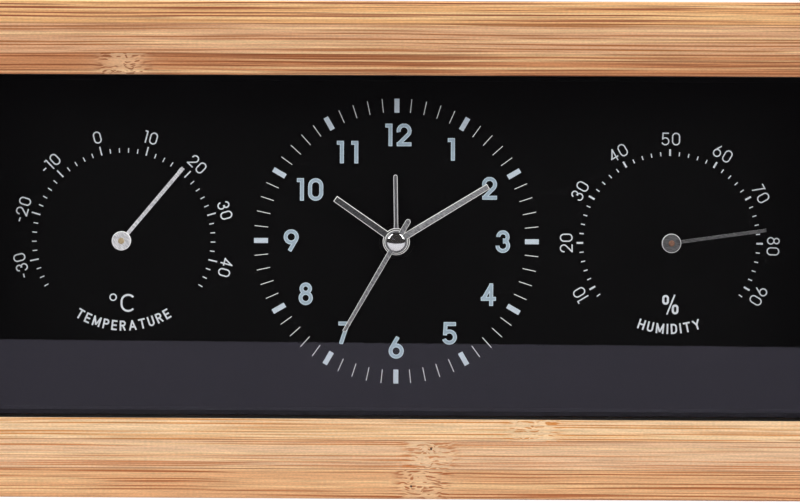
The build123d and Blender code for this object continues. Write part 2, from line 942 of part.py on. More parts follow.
# Alarm wheel on the widest tube, which carries the alarm hand
alarm_tube_front = alarm_hand_back - hand_thickness - hand_edge
with BuildPart() as alarm_wheel:
    round_bar(alarm_tube_front, alarm_level, alarm_tube, 0, hub_height)
    cog(
        alarm_level, alarm_level + wheel_face, alarm_teeth, alarm_module, alarm_phase, 0, hub_height
    )
    round_bar(alarm_tube_front, alarm_level + wheel_face, alarm_bore, 0, hub_height, Mode.SUBTRACT)
alarm_wheel.part.label = "alarm_wheel"
export_step(alarm_wheel.part, "parts/alarm_wheel.step")

# Shaft for setting the alarm
with BuildPart() as alarm_shaft:
    round_bar(backer_back, alarm_level, set_shaft_radius, alarm_x, alarm_z)
    cog(
        alarm_level,
        alarm_level + wheel_face,
        alarm_pinion_teeth,
        alarm_module,
        alarm_pinion_phase,
        alarm_x,
        alarm_z,
    )
    round_bar(alarm_level + wheel_face, set_shaft_end, set_shaft_radius, alarm_x, alarm_z)
alarm_shaft.part.label = "alarm_shaft"
export_step(alarm_shaft.part, "parts/alarm_shaft.step")

# Grooved knobs pressed on the two shafts behind the cover
knob_back = knob_front + knob_height
for knob_name, knob_x, knob_z in (
    ("time_set_knob", set_x, set_z),
    ("alarm_set_knob", alarm_x, alarm_z),
):
    with BuildPart() as knob:
        with BuildSketch(facing(knob_back, knob_x, knob_z)):
            Circle(knob_radius)
        extrude(amount=knob_height)
        chamfer(knob.faces().sort_by(Axis.Y)[-1].edges(), knob_edge)
        with BuildSketch(facing(knob_back, knob_x, knob_z)):
            with PolarLocations(knob_radius, knob_groove_count):
                Circle(knob_groove_radius)
        extrude(amount=knob_height, mode=Mode.SUBTRACT)
        round_bar(knob_front, set_shaft_end, set_shaft_radius, knob_x, knob_z, Mode.SUBTRACT)
    knob.part.label = knob_name
    export_step(knob.part, f"parts/{knob_name}.step")

# Stator plate around the rotor, and the core that closes its magnetic path through the coil
with BuildPart() as stator:
    with BuildSketch(facing(stator_back, 0, hub_height)):
        with BuildLine():
            Polyline(
                (-stator_left, stator_reach),
                (-stator_right, stator_reach),
                (-stator_right, -stator_reach),
                (-stator_left, -stator_reach),
                (-stator_left, stator_arm - stator_reach),
                (-stator_bar_left, stator_arm - stator_reach),
                (-stator_bar_left, stator_reach - stator_arm),
                (-stator_left, stator_reach - stator_arm),
                close=True,
            )
        make_face()
        with Locations((rotor_x, rotor_z - hub_height)):
            Circle(stator_hole_radius, mode=Mode.SUBTRACT)
    extrude(amount=stator_thickness)
stator.part.label = "stator"
export_step(stator.part, "parts/stator.step")

core_front = stator_front - stator_thickness
with BuildPart() as coil_core:
    block(
        core_front,
        stator_front,
        -core_middle - core_width / 2,
        -core_middle + core_width / 2,
        hub_height - stator_reach,
        hub_height + stator_reach,
    )
coil_core.part.label = "coil_core"
export_step(coil_core.part, "parts/coil_core.step")

# Bobbin around the core, and the copper winding on it
core_depth = (core_front + stator_front) / 2
bobbin_axis = Plane(origin=(-core_middle, core_depth, hub_height), z_dir=(0, 0, 1))
with BuildPart() as coil_bobbin:
    with BuildSketch(bobbin_axis):
        Circle(bobbin_tube_radius)
    extrude(amount=bobbin_reach, both=True)
    for side in (-1, 1):
        with BuildSketch(bobbin_axis.offset(side * bobbin_reach)):
            Circle(bobbin_flange_radius)
        extrude(amount=-side * bobbin_flange)
    with BuildSketch(bobbin_axis):
        Rectangle(core_width, stator_thickness)
    extrude(amount=bobbin_reach, both=True, mode=Mode.SUBTRACT)
coil_bobbin.part.label = "coil_bobbin"
export_step(coil_bobbin.part, "parts/coil_bobbin.step")

with BuildPart() as coil_winding:
    with BuildSketch(bobbin_axis):
        Circle(winding_radius)
        Circle(bobbin_tube_radius, mode=Mode.SUBTRACT)
    extrude(amount=bobbin_reach - bobbin_flange, both=True)
coil_winding.part.label = "coil_winding"
export_step(coil_winding.part, "parts/coil_winding.step")

# Circuit board with its crystal and its chip
with BuildPart() as circuit_board:
    block(
        board_front,
        board_back,
        board_left,
        board_right,
        hub_height - board_low,
        hub_height + board_high,
    )
circuit_board.part.label = "circuit_board"
export_step(circuit_board.part, "parts/circuit_board.step")

with BuildPart() as quartz_crystal:
    with BuildSketch(Plane(origin=(crystal_x, board_front - crystal_radius, hub_height), z_dir=(0, 0, 1))):
        Circle(crystal_radius)
    extrude(amount=crystal_length / 2, both=True)
quartz_crystal.part.label = "quartz_crystal"
export_step(quartz_crystal.part, "parts/quartz_crystal.step")

chip_z = hub_height - chip_drop
with BuildPart() as clock_chip:
    round_bar(board_front - chip_height, board_front, chip_radius, chip_x, chip_z)
    fillet(clock_chip.faces().sort_by(Axis.Y)[0].edges(), chip_height - pinion_over)
clock_chip.part.label = "clock_chip"
export_step(clock_chip.part, "parts/clock_chip.step")

# Piezo disc that sounds the alarm, on its seat over the sound holes
buzzer_back = back_floor - board_post
with BuildPart() as buzzer:
    round_bar(buzzer_back - buzzer_thickness, buzzer_back, buzzer_radius, buzzer_x, buzzer_z)
buzzer.part.label = "buzzer"
export_step(buzzer.part, "parts/buzzer.step")

# Spring leaf that the hour wheel closes when the alarm is due
with BuildPart() as alarm_contact:
    block(
        leaf_back - leaf_thickness,
        leaf_back,
        leaf_inner,
        leaf_outer,
        hub_height - leaf_low,
        hub_height - leaf_high,
    )
alarm_contact.part.label = "alarm_contact"
export_step(alarm_contact.part, "parts/alarm_contact.step")

# Battery and the two contacts at its ends
cell_right = battery_length / 2 - battery_shift
cell_left = cell_right - battery_length
with BuildPart() as battery_cell:
    with BuildSketch(Plane(origin=(cell_left, battery_y, battery_z), z_dir=(1, 0, 0))):
        Circle(battery_radius)
    extrude(amount=battery_length)
    with BuildSketch(Plane(origin=(cell_right, battery_y, battery_z), z_dir=(1, 0, 0))):
        Circle(battery_nub_radius)
    extrude(amount=battery_nub_length)
battery_cell.part.label = "battery_cell"
export_step(battery_cell.part, "parts/battery_cell.step")

contacts = {
    "positive_contact": (inner_right, cell_right + battery_nub_length, -1),
    "negative_contact": (inner_left, cell_left, 1),
}
for contact_name, (wall_x, touch_x, inward) in contacts.items():
    with BuildPart() as contact:
        with BuildSketch(Plane(origin=(wall_x, battery_y, battery_z), z_dir=(inward, 0, 0))):
            Rectangle(contact_size, contact_size)
        extrude(amount=contact_thickness)
        with BuildSketch(Plane(origin=(wall_x, battery_y, battery_z), z_dir=(inward, 0, 0))):
            Circle(contact_dimple_radius)
        extrude(amount=abs(touch_x - wall_x))
    contact.part.label = contact_name
    export_step(contact.part, f"parts/{contact_name}.step")

# Door over the battery
with BuildPart() as battery_door:
    with BuildSketch(facing(cover_back, 0, battery_z)):
        RectangleRounded(door_width, door_height, door_corner)
    extrude(amount=cover_thickness)
    notch_x = door_width / 2 - 2 * door_notch_radius
    with BuildSketch(facing(cover_back, notch_x, battery_z)):
        SlotOverall(2 * door_notch_radius, door_notch_radius, rotation=90)
    extrude(amount=door_notch_depth, mode=Mode.SUBTRACT)
    with BuildSketch(facing(cover_back, -notch_x, battery_z)):
        with GridLocations(door_rib_pitch, door_height, door_rib_count, 1):
            SlotOverall(door_height / 2, door_rib_width, rotation=90)
    extrude(amount=door_notch_depth, mode=Mode.SUBTRACT)
battery_door.part.label = "battery_door"
export_step(battery_door.part, "parts/battery_door.step")

# Slider that turns the alarm on and off
switch_z = hub_height + switch_up
cap_gap = switch_play
switch_cap_front = cover_back + cap_gap
switch_cap_back = switch_cap_front + switch_cap_thickness
paddle_back = back_floor - switch_play
with BuildPart() as alarm_switch:
    block(
        paddle_back,
        switch_cap_front,
        switch_x - switch_stem_width / 2,
        switch_x + switch_stem_width / 2,
        switch_z - switch_stem_height / 2,
        switch_z + switch_stem_height / 2,
    )
    block(
        switch_cap_front,
        switch_cap_back,
        switch_x - switch_cap_width / 2,
        switch_x + switch_cap_width / 2,
        switch_z - switch_cap_height / 2,
        switch_z + switch_cap_height / 2,
    )
    block(
        switch_cap_back,
        switch_cap_back + switch_rib_height,
        switch_x - switch_cap_width / 2,
        switch_x + switch_cap_width / 2,
        switch_z - switch_rib_width / 2,
        switch_z + switch_rib_width / 2,
    )
    block(
        paddle_back - switch_paddle_thickness,
        paddle_back,
        switch_x - switch_cap_width / 2,
        switch_x + switch_cap_width / 2,
        switch_z - switch_cap_height / 2,
        switch_z + switch_cap_height / 2,
    )
alarm_switch.part.label = "alarm_switch"
export_step(alarm_switch.part, "parts/alarm_switch.step")

# Alarm hand, a slim bar with a round tip and a flared root
with BuildPart() as alarm_hand:
    with BuildSketch(facing(alarm_hand_back, 0, hub_height, alarm_angle)):
        Circle(alarm_boss_radius)
        with BuildLine():
            tip_start = alarm_hand_length - alarm_hand_width / 2
            flare_end = alarm_boss_radius + alarm_hand_flare
            Polyline(
                (-alarm_hand_width / 2, tip_start),
                (-alarm_hand_width / 2, flare_end),
                (-alarm_hand_flare / 2, alarm_flare_root_share * alarm_boss_radius),
                (alarm_hand_flare / 2, alarm_flare_root_share * alarm_boss_radius),
                (alarm_hand_width / 2, flare_end),
                (alarm_hand_width / 2, tip_start),
            )
            ThreePointArc(
                (alarm_hand_width / 2, tip_start),
                (0, alarm_hand_length),
                (-alarm_hand_width / 2, tip_start),
            )
        make_face()
    extrude(amount=hand_thickness)
    chamfer(alarm_hand.faces().sort_by(Axis.Y)[0].edges(), hand_edge)
    round_bar(
        alarm_hand_back - hand_thickness, alarm_hand_back, alarm_tube, 0, hub_height, Mode.SUBTRACT
    )
alarm_hand.part.label = "alarm_hand"
export_step(alarm_hand.part, "parts/alarm_hand.step")

# Hour and minute hands, tapered bars with square tips on round bosses
bar_hands = {
    "hour_hand": (
        hour_hand_back,
        hour_angle,
        hour_boss_radius,
        hour_hand_length,
        hour_hand_width,
        hour_hand_tip,
        hour_tube,
    ),
    "minute_hand": (
        minute_hand_back,
        minute_angle,
        minute_boss_radius,
        minute_hand_length,
        minute_hand_width,
        minute_hand_tip,
        minute_tube,
    ),
}
for hand_name, (hand_back, angle, boss, reach, root_width, tip_width, bore) in bar_hands.items():
    with BuildPart() as bar_hand:
        with BuildSketch(facing(hand_back, 0, hub_height, angle)):
            Circle(boss)
            with BuildLine():
                Polyline(
                    (-root_width / 2, 0),
                    (root_width / 2, 0),
                    (tip_width / 2, reach),
                    (-tip_width / 2, reach),
                    close=True,
                )
            make_face()
        extrude(amount=hand_thickness)
        chamfer(bar_hand.faces().sort_by(Axis.Y)[0].edges(), hand_edge)
        round_bar(hand_back - hand_thickness, hand_back, bore, 0, hub_height, Mode.SUBTRACT)
    bar_hand.part.label = hand_name
    export_step(bar_hand.part, f"parts/{hand_name}.step")

# Second hand with a short round-ended tail
with BuildPart() as second_hand:
    with BuildSketch(facing(second_hand_back, 0, hub_height, second_angle)):
        Circle(second_boss_radius)
        with BuildLine():
            tail_end = -second_tail_length + second_tail_width / 2
            Polyline(
                (second_tail_width / 2, tail_end),
                (second_hand_width / 2, 0),
                (second_hand_tip / 2, second_hand_length),
                (-second_hand_tip / 2, second_hand_length),
                (-second_hand_width / 2, 0),
                (-second_tail_width / 2, tail_end),
            )
            ThreePointArc(
                (-second_tail_width / 2, tail_end),
                (0, -second_tail_length),
                (second_tail_width / 2, tail_end),
            )
        make_face()
    extrude(amount=second_hand_thickness)
    chamfer(second_hand.faces().sort_by(Axis.Y)[0].edges(), second_hand_edge)
    round_bar(
        cap_back, second_hand_back, seconds_arbor_radius, 0, hub_height, Mode.SUBTRACT
    )
second_hand.part.label = "second_hand"
export_step(second_hand.part, "parts/second_hand.step")

# Domed cap over the end of the seconds arbor
with BuildPart() as second_hand_cap:
    with BuildSketch(Plane(origin=(0, 0, hub_height))):
        with BuildLine():
            Polyline(
                (0, cap_back - cap_height),
                (0, cap_back),
                (cap_radius, cap_back),
                (cap_radius, cap_back - cap_rim),
            )
            TangentArc(
                (0, cap_back - cap_height), (cap_radius, cap_back - cap_rim), tangent=(1, 0)
            )
        make_face()
    revolve(axis=Axis((0, 0, hub_height), (0, 1, 0)))
    round_bar(arbor_front, cap_back, seconds_arbor_radius, 0, hub_height, Mode.SUBTRACT)
second_hand_cap.part.label = "second_hand_cap"
export_step(second_hand_cap.part, "parts/second_hand_cap.step")

# The two meters: a cup with a bush, a bimetal coil, a staff and a needle with a round disc
cup_floor = backer_back + case_wall
cup_back = backer_back + cup_height
coil_front = cup_floor + coil_lift
coil_back = coil_front + coil_width
coil_start = collet_radius + coil_strip / 2
coil_end = coil_start + coil_turns * coil_pitch
needle_back = dial_front - needle_stand_off
disc_front = needle_back - needle_disc_thickness
meters = {
    "thermometer": (-meter_offset, thermometer_angle, thermometer_needle_width),
    "hygrometer": (meter_offset, hygrometer_angle, hygrometer_needle_width),
}
for meter_name, (meter_x, needle_angle, needle_width) in meters.items():
    with BuildPart() as cup:
        round_bar(backer_back, cup_back, cup_radius, meter_x, hub_height)
        round_bar(
            cup_floor, cup_back, cup_radius - case_wall, meter_x, hub_height, Mode.SUBTRACT
        )
        with BuildSketch(facing(cup_floor, meter_x, hub_height)):
            SlotOverall(2 * (cup_radius + cup_ear_reach), 2 * cup_ear_radius, rotation=90)
            Circle(cup_radius - case_wall / 2, mode=Mode.SUBTRACT)
        extrude(amount=case_wall)
        for up in (-1, 1):
            round_bar(
                backer_back,
                cup_floor,
                works_screw_radius + screw_hole_play,
                meter_x,
                hub_height + up * meter_screw_reach,
                Mode.SUBTRACT,
            )
        anchor_left = meter_x + coil_end + coil_strip / 2 + anchor_gap
        block(
            cup_floor,
            coil_back,
            anchor_left,
            anchor_left + anchor_size,
            hub_height - anchor_size / 2,
            hub_height + anchor_size / 2,
        )
        round_bar(dial_front, backer_back, bush_radius, meter_x, hub_height)
        round_bar(
            dial_front, cup_floor, staff_radius + pivot_play, meter_x, hub_height, Mode.SUBTRACT
        )
    cup.part.label = f"{meter_name}_cup"
    export_step(cup.part, f"parts/{meter_name}_cup.step")

    with BuildPart() as coil:
        with BuildSketch(facing(coil_back, meter_x, hub_height)):
            with BuildLine():
                for half in range(2 * coil_turns):
                    odd = half % 2
                    CenterArc(
                        (odd * coil_pitch / 2, 0), coil_start + half * coil_pitch / 2, odd * 180, 180
                    )
            trace(line_width=coil_strip)
        extrude(amount=coil_width)
    coil.part.label = f"{meter_name}_coil"
    export_step(coil.part, f"parts/{meter_name}_coil.step")

    with BuildPart() as staff:
        round_bar(disc_front, cup_floor + coil_lift / 2, staff_radius, meter_x, hub_height)
        round_bar(cup_floor + coil_lift / 2, coil_back, collet_radius, meter_x, hub_height)
        round_bar(disc_front - rivet_height, disc_front, rivet_radius, meter_x, hub_height)
        chamfer(staff.faces().sort_by(Axis.Y)[0].edges(), rivet_height / 2)
    staff.part.label = f"{meter_name}_staff"
    export_step(staff.part, f"parts/{meter_name}_staff.step")

    with BuildPart() as needle:
        with BuildSketch(facing(needle_back, meter_x, hub_height)):
            Circle(needle_disc_radius)
        extrude(amount=needle_disc_thickness)
        chamfer(needle.faces().sort_by(Axis.Y)[0].edges(), needle_disc_edge)
        with BuildSketch(facing(needle_back, meter_x, hub_height, needle_angle)):
            with Locations((0, needle_length / 2)):
                Rectangle(needle_width, needle_length)
        extrude(amount=needle_thickness)
        round_bar(disc_front, needle_back, staff_radius, meter_x, hub_height, Mode.SUBTRACT)
    needle.part.label = f"{meter_name}_needle"
    export_step(needle.part, f"parts/{meter_name}_needle.step")
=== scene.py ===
import math

import bmesh
import bpy
from mathutils import Matrix, Vector


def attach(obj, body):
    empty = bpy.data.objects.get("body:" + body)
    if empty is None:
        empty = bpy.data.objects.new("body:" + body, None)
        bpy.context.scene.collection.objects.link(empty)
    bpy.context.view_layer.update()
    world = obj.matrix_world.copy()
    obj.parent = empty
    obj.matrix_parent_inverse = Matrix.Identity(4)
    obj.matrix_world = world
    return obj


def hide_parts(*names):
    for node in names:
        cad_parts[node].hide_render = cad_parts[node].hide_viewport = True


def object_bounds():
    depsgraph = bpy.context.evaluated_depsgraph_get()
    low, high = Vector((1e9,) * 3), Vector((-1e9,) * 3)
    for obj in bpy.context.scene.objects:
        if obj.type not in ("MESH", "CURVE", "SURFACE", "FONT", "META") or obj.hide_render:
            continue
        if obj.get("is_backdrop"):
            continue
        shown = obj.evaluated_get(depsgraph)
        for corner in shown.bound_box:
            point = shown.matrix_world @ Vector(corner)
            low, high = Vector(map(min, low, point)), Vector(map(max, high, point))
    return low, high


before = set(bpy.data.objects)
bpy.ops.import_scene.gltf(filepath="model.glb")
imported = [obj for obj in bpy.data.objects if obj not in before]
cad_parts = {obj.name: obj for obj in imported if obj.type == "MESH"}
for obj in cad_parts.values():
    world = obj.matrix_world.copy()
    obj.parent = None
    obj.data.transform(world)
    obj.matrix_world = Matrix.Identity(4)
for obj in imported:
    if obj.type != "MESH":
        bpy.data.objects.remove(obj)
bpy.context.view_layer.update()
mm = 0.001

# Frame: four boards of bamboo plywood, mitred and glued at the corners, each of three plies pressed
# together from split canes. The canes' joints show as pale knotty bands. The edges are eased and the
# whole is finished with a thin satin lacquer.
frame_depth = 45 * mm
frame_height = 100 * mm
half_width = 100 * mm
top_board = 15 * mm
bottom_board = 16.25 * mm
side_board = 15 * mm
strip_width = 20 * mm
strip_shift = 4 * mm
ply_seed = 3.7
strip_seed = 11.3
knot_shift = 67 * mm
knot_length = 5 * mm
knot_strength = 0.45
sway_width = 0.8 * mm
curl_width = 2.8 * mm
thin_strength = 0.75
line_strength = 0.88
glow_strength = 0.65
grain_relief = 0.1 * mm
grain_glow = (250, 212, 156)
knot_pale = (238, 203, 160)
knot_dot = (70, 42, 26)
glue_line = (172, 116, 76)
glue_share = 0.014
# Near-black for each board's inner face in front of the dial, and the depth in front of which it lies.
inner_dark = (14, 12, 11)
dark_back = -11.8 * mm


def paint(red, green, blue):
    """A colour as a painter reads it, from 0 to 255, for a shader's socket."""
    share = [value / 255 for value in (red, green, blue)]
    light = [s / 12.92 if s < 0.04045 else ((s + 0.055) / 1.055) ** 2.4 for s in share]
    return (*light, 1)


class Tree:
    """The nodes of one material or node group, with short ways to add to them."""

    def __init__(self, tree):
        self.nodes = tree.nodes
        self.links = tree.links

    def fill(self, place, value):
        if isinstance(value, bpy.types.NodeSocket):
            self.links.new(value, place)
        elif value is not None:
            place.default_value = value

    def add(self, kind, values, output=0, **settings):
        node = self.nodes.new(kind)
        for name, value in settings.items():
            setattr(node, name, value)
        for name, value in values.items():
            self.fill(node.inputs[name], value)
        return node.outputs[output]

    def sum(self, operation, *values):
        return self.add("ShaderNodeMath", dict(enumerate(values)), operation=operation)

    def vector(self, operation, *values):
        return self.add("ShaderNodeVectorMath", dict(enumerate(values)), operation=operation)

    def joined(self, x, y, z):
        return self.add("ShaderNodeCombineXYZ", {"X": x, "Y": y, "Z": z})

    def parts(self, vector):
        node = self.nodes.new("ShaderNodeSeparateXYZ")
        self.links.new(vector, node.inputs[0])
        return node.outputs

    def noise(self, vector, scale=1.0, detail=2.0, roughness=0.5):
        values = {"Vector": vector, "Scale": scale, "Detail": detail, "Roughness": roughness}
        return self.add("ShaderNodeTexNoise", values)

    def between(self, value, low, high, first=0.0, last=1.0):
        values = {"Value": value, 1: low, 2: high, 3: first, 4: last}
        return self.add("ShaderNodeMapRange", values, interpolation_type="SMOOTHSTEP")

    def mix(self, factor, first, second, blend="MIX"):
        values = {0: factor, 6: first, 7: second}
        return self.add("ShaderNodeMix", values, 2, data_type="RGBA", blend_type=blend)

    def steps(self, value, stops):
        """A ramp of flat steps: each stop is its start and its colour."""
        node = self.nodes.new("ShaderNodeValToRGB")
        node.color_ramp.interpolation = "CONSTANT"
        for i, (start, colour) in enumerate(stops):
            stop = node.color_ramp.elements[i] if i < 2 else node.color_ramp.elements.new(start)
            stop.position = start
            stop.color = colour
        self.links.new(value, node.inputs[0])
        return node.outputs[0]

    def bump(self, height, strength, distance):
        values = {"Height": height, "Strength": strength, "Distance": distance}
        return self.add("ShaderNodeBump", values)


def new_group(name, inputs, outputs):
    """An empty node group with named sockets, with its tree, its inputs and its outputs."""
    group = bpy.data.node_groups.new(name, "ShaderNodeTree")
    for label, kind in inputs.items():
        group.interface.new_socket(label, in_out="INPUT", socket_type=f"NodeSocket{kind}")
    for label, kind in outputs.items():
        group.interface.new_socket(label, in_out="OUTPUT", socket_type=f"NodeSocket{kind}")
    start = group.nodes.new("NodeGroupInput")
    end = group.nodes.new("NodeGroupOutput")
    return group, Tree(group), start.outputs, end.inputs


def new_material(name, **sockets):
    """A material with its tree and its Principled shader, whose named sockets hold plain values."""
    material = bpy.data.materials.new(name)
    material.use_nodes = True
    tree = Tree(material.node_tree)
    shader = material.node_tree.nodes["Principled BSDF"]
    for label, value in sockets.items():
        shader.inputs[label.replace("_", " ").title().replace("Ior", "IOR")].default_value = value
    return material, tree, shader


def placed_on(tree):
    """Where a point of the surface is, in metres, with the piece at rest."""
    return tree.nodes.new("ShaderNodeTexCoord").outputs["Object"]


def dress(material, *names):
    """Gives these CAD nodes a material through their own slots."""
    for name in names:
        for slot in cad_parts[name].material_slots:
            slot.material = material


bamboo, tree, given, put = new_group(
    "bamboo",
    {
        "Along": "Float",
        "Depth": "Float",
        "Stack": "Float",
        "Ply": "Float",
        "Knot": "Float",
        "Ply Colour": "Color",
        "Line Colour": "Color",
    },
    {"Colour": "Color", "Roughness": "Float", "Height": "Float"},
)
strip = tree.sum("ADD", given["Depth"], frame_depth / 2)
strip = tree.sum("ADD", strip, tree.sum("MULTIPLY", given["Ply"], strip_shift))
strip = tree.sum("FLOOR", tree.sum("DIVIDE", strip, strip_width))
seed = tree.sum("MULTIPLY", given["Ply"], ply_seed)
seed = tree.sum("ADD", seed, tree.sum("MULTIPLY", strip, strip_seed))
knot_at = tree.sum("ADD", given["Knot"], tree.sum("MULTIPLY", strip, knot_shift))
from_knot = tree.sum("DIVIDE", tree.sum("SUBTRACT", given["Along"], knot_at), knot_length)
knotty = tree.sum("EXPONENT", tree.sum("MULTIPLY", tree.sum("MULTIPLY", from_knot, from_knot), -1))


def cane_space(along, across, shift=0.0, bend=0.0):
    """Texture space of one cane: so many turns a metre along it and across it."""
    start = tree.sum("ADD", tree.sum("MULTIPLY", given["Along"], along), tree.sum("ADD", seed, shift))
    depth = tree.sum("MULTIPLY", tree.sum("ADD", given["Depth"], bend), across)
    stack = tree.sum("MULTIPLY", tree.sum("ADD", given["Stack"], bend), across)
    return tree.joined(start, depth, tree.sum("ADD", stack, seed))


def bundles(along, across, shift, bend, thin, thick):
    """Streaks with pointed ends, where the cut runs through the cane's fibre bundles."""
    near = tree.nodes.new("ShaderNodeTexVoronoi")
    near.inputs["Scale"].default_value = 1
    tree.links.new(cane_space(along, across, shift, bend), near.inputs["Vector"])
    return tree.between(near.outputs["Distance"], thin, thick, 1, 0)


def wander(along, across, width):
    """How far the fibres stray from a straight line, within this width."""
    stray = tree.sum("SUBTRACT", tree.noise(cane_space(along, across)), 0.5)
    return tree.sum("MULTIPLY", stray, width)


sway = wander(14, 90, sway_width)
curl = wander(240, 300, curl_width)
curl = tree.sum("ADD", sway, tree.sum("MULTIPLY", curl, knotty))
long_lines = bundles(8, 2450, 1, sway, 0.26, 0.43)
thin_lines = bundles(21, 3400, 4, sway, 0.26, 0.47)
dashes = bundles(150, 2700, 7, curl, 0.26, 0.5)
pores = bundles(330, 420, 9, curl, 0.07, 0.11)
patch = tree.between(tree.noise(cane_space(9, 260, 5), detail=2), 0.34, 0.56)
thin_lines = tree.sum("MULTIPLY", thin_lines, tree.sum("MULTIPLY", patch, thin_strength))
lines = tree.sum("MAXIMUM", long_lines, thin_lines)
calm = tree.sum("SUBTRACT", 1, tree.between(knotty, 0.15, 0.7))
in_knot = tree.between(knotty, 0.1, 0.5)
lines = tree.sum("ADD", tree.sum("MULTIPLY", lines, calm), tree.sum("MULTIPLY", dashes, in_knot))
glow = bundles(7, 1700, 3, sway, 0.14, 0.58)
fibres = tree.noise(cane_space(90, 5200, 3, sway), detail=2)
colour = tree.mix(tree.sum("MULTIPLY", glow, glow_strength), given["Ply Colour"], paint(*grain_glow))
colour = tree.mix(tree.sum("MULTIPLY", knotty, knot_strength), colour, paint(*knot_pale))
colour = tree.mix(tree.sum("MULTIPLY", lines, line_strength), colour, given["Line Colour"])
shade = tree.between(fibres, 0.25, 0.75, 0.82, 1.14)
flecks = tree.between(tree.noise(cane_space(1600, 3600, 6), detail=1), 0.3, 0.7, 0.93, 1.07)
shade = tree.sum("MULTIPLY", shade, flecks)
colour = tree.mix(1.0, colour, tree.joined(shade, shade, shade), "MULTIPLY")
in_middle = tree.between(knotty, 0.5, 0.8)
colour = tree.mix(tree.sum("MULTIPLY", pores, in_middle), colour, paint(*knot_dot))
tree.links.new(colour, put["Colour"])
tree.links.new(tree.between(lines, 0, 1, 0.42, 0.56), put["Roughness"])
tree.links.new(tree.sum("SUBTRACT", tree.sum("MULTIPLY", fibres, 0.4), lines), put["Height"])


def bamboo_board(name, along, stack, edge, thickness, plies, dark_share=0.003):
    """Lacquered bamboo for one board. Its inner face is near-black in front of the dial.

    Each ply is its start from the outer edge, its colour, its lines' colour and the place of its knot.
    A ramp only holds values from 0 to 1, so the plies' counts and the knots' places are scaled to fit.
    """
    material, tree, shader = new_material(f"bamboo_{name}", coat_weight=0.12, coat_roughness=0.3)
    place = tree.parts(placed_on(tree))
    through = tree.sum("DIVIDE", tree.sum("SUBTRACT", place[stack], edge), thickness)
    starts = [start for start, *_ in plies]
    tones = [(0, paint(*plies[0][1]))]
    for start, tone, *_ in plies[1:]:
        tones += [(start, paint(*glue_line)), (start + glue_share, paint(*tone))]
    counts = [(start, (i / 2, i / 2, i / 2, 1)) for i, start in enumerate(starts)]
    line_tones = [(start, paint(*line)) for start, _, line, _ in plies]
    knots = [(start, (0.5 + 2 * at,) * 3 + (1,)) for start, _, _, at in plies]
    node = tree.nodes.new("ShaderNodeGroup")
    node.node_tree = bamboo
    knot = tree.sum("DIVIDE", tree.sum("SUBTRACT", tree.steps(through, knots), 0.5), 2)
    for label, value in {
        "Along": place[along],
        "Depth": place["Y"],
        "Stack": place[stack],
        "Ply": tree.sum("MULTIPLY", tree.steps(through, counts), 2),
        "Knot": knot,
        "Ply Colour": tree.steps(through, tones),
        "Line Colour": tree.steps(through, line_tones),
    }.items():
        tree.fill(node.inputs[label], value)
    # Near-black on the inner face and on a thin strip of the front face beside it, in front of the dial.
    inside = tree.sum("GREATER_THAN", through, 1 - dark_share)
    inside = tree.sum("MULTIPLY", inside, tree.sum("LESS_THAN", place["Y"], dark_back))
    colour = tree.mix(inside, node.outputs["Colour"], paint(*inner_dark))
    tree.fill(shader.inputs["Base Color"], colour)
    tree.fill(shader.inputs["Roughness"], node.outputs["Roughness"])
    tree.fill(shader.inputs["Normal"], tree.bump(node.outputs["Height"], 0.25, grain_relief))
    dress(material, f"frame_{name}")


bamboo_board(
    "top",
    "X",
    "Z",
    frame_height,
    -top_board,
    [
        (0, (235, 177, 117), (131, 42, 0), -0.12),
        (0.3, (218, 165, 123), (160, 88, 19), 0.13),
        (0.71, (198, 133, 86), (135, 63, 0), -0.055),
    ],
)
bamboo_board(
    "bottom",
    "X",
    "Z",
    0,
    bottom_board,
    [
        (0, (226, 171, 120), (164, 78, 0), 0.0056),
        (0.36, (231, 189, 148), (196, 117, 56), 0.0068),
        (0.715, (243, 205, 159), (206, 126, 40), 0.0277),
    ],
    0.012,
)
for side, sign in (("left", -1), ("right", 1)):
    bamboo_board(
        side,
        "Z",
        "X",
        sign * half_width,
        -sign * side_board,
        [
            (0, (214, 165, 120), (150, 84, 16), 0.03),
            (0.33, (205, 158, 118), (150, 90, 24), 0.078),
            (0.67, (222, 178, 134), (160, 98, 30), 0.055),
        ],
    )

# Corner blocks: four offcuts of pale softwood, glued into the frame's corners behind the dial board.
# They hold the pilot holes for the cover's screws.
grain, tree, given, put = new_group(
    "uneven_surface",
    {"Place": "Vector", "Grain": "Float", "Colour": "Color", "Second Colour": "Color"},
    {"Colour": "Color", "Mask": "Float"},
)
coarse = tree.noise(given["Place"], tree.sum("MULTIPLY", given["Grain"], 0.18), 2)
fine = tree.noise(given["Place"], given["Grain"], 3, 0.6)
blend = tree.sum("ADD", tree.sum("MULTIPLY", coarse, 0.55), tree.sum("MULTIPLY", fine, 0.45))
blend = tree.between(blend, 0.3, 0.7)
tree.links.new(tree.mix(blend, given["Colour"], given["Second Colour"]), put["Colour"])
tree.links.new(fine, put["Mask"])


def uneven(
    name,
    nodes,
    colour,
    second,
    grain_size,
    roughness,
    spread=0.08,
    relief=0.0,
    stretch=(1, 1, 1),
    **sockets,
):
    """A material of two close colours, whose gloss and relief vary with a grain of that size."""
    material, tree, shader = new_material(name, **sockets)
    place = tree.vector("MULTIPLY", placed_on(tree), stretch)
    node = tree.nodes.new("ShaderNodeGroup")
    node.node_tree = grain
    for label, value in {
        "Place": place,
        "Grain": 1 / grain_size,
        "Colour": paint(*colour),
        "Second Colour": paint(*second),
    }.items():
        tree.fill(node.inputs[label], value)
    gloss = tree.between(node.outputs["Mask"], 0.25, 0.75, roughness - spread, roughness + spread)
    tree.fill(shader.inputs["Base Color"], node.outputs["Colour"])
    tree.fill(shader.inputs["Roughness"], gloss)
    if relief:
        tree.fill(shader.inputs["Normal"], tree.bump(node.outputs["Mask"], 0.3, relief))
    dress(material, *nodes)
    return material


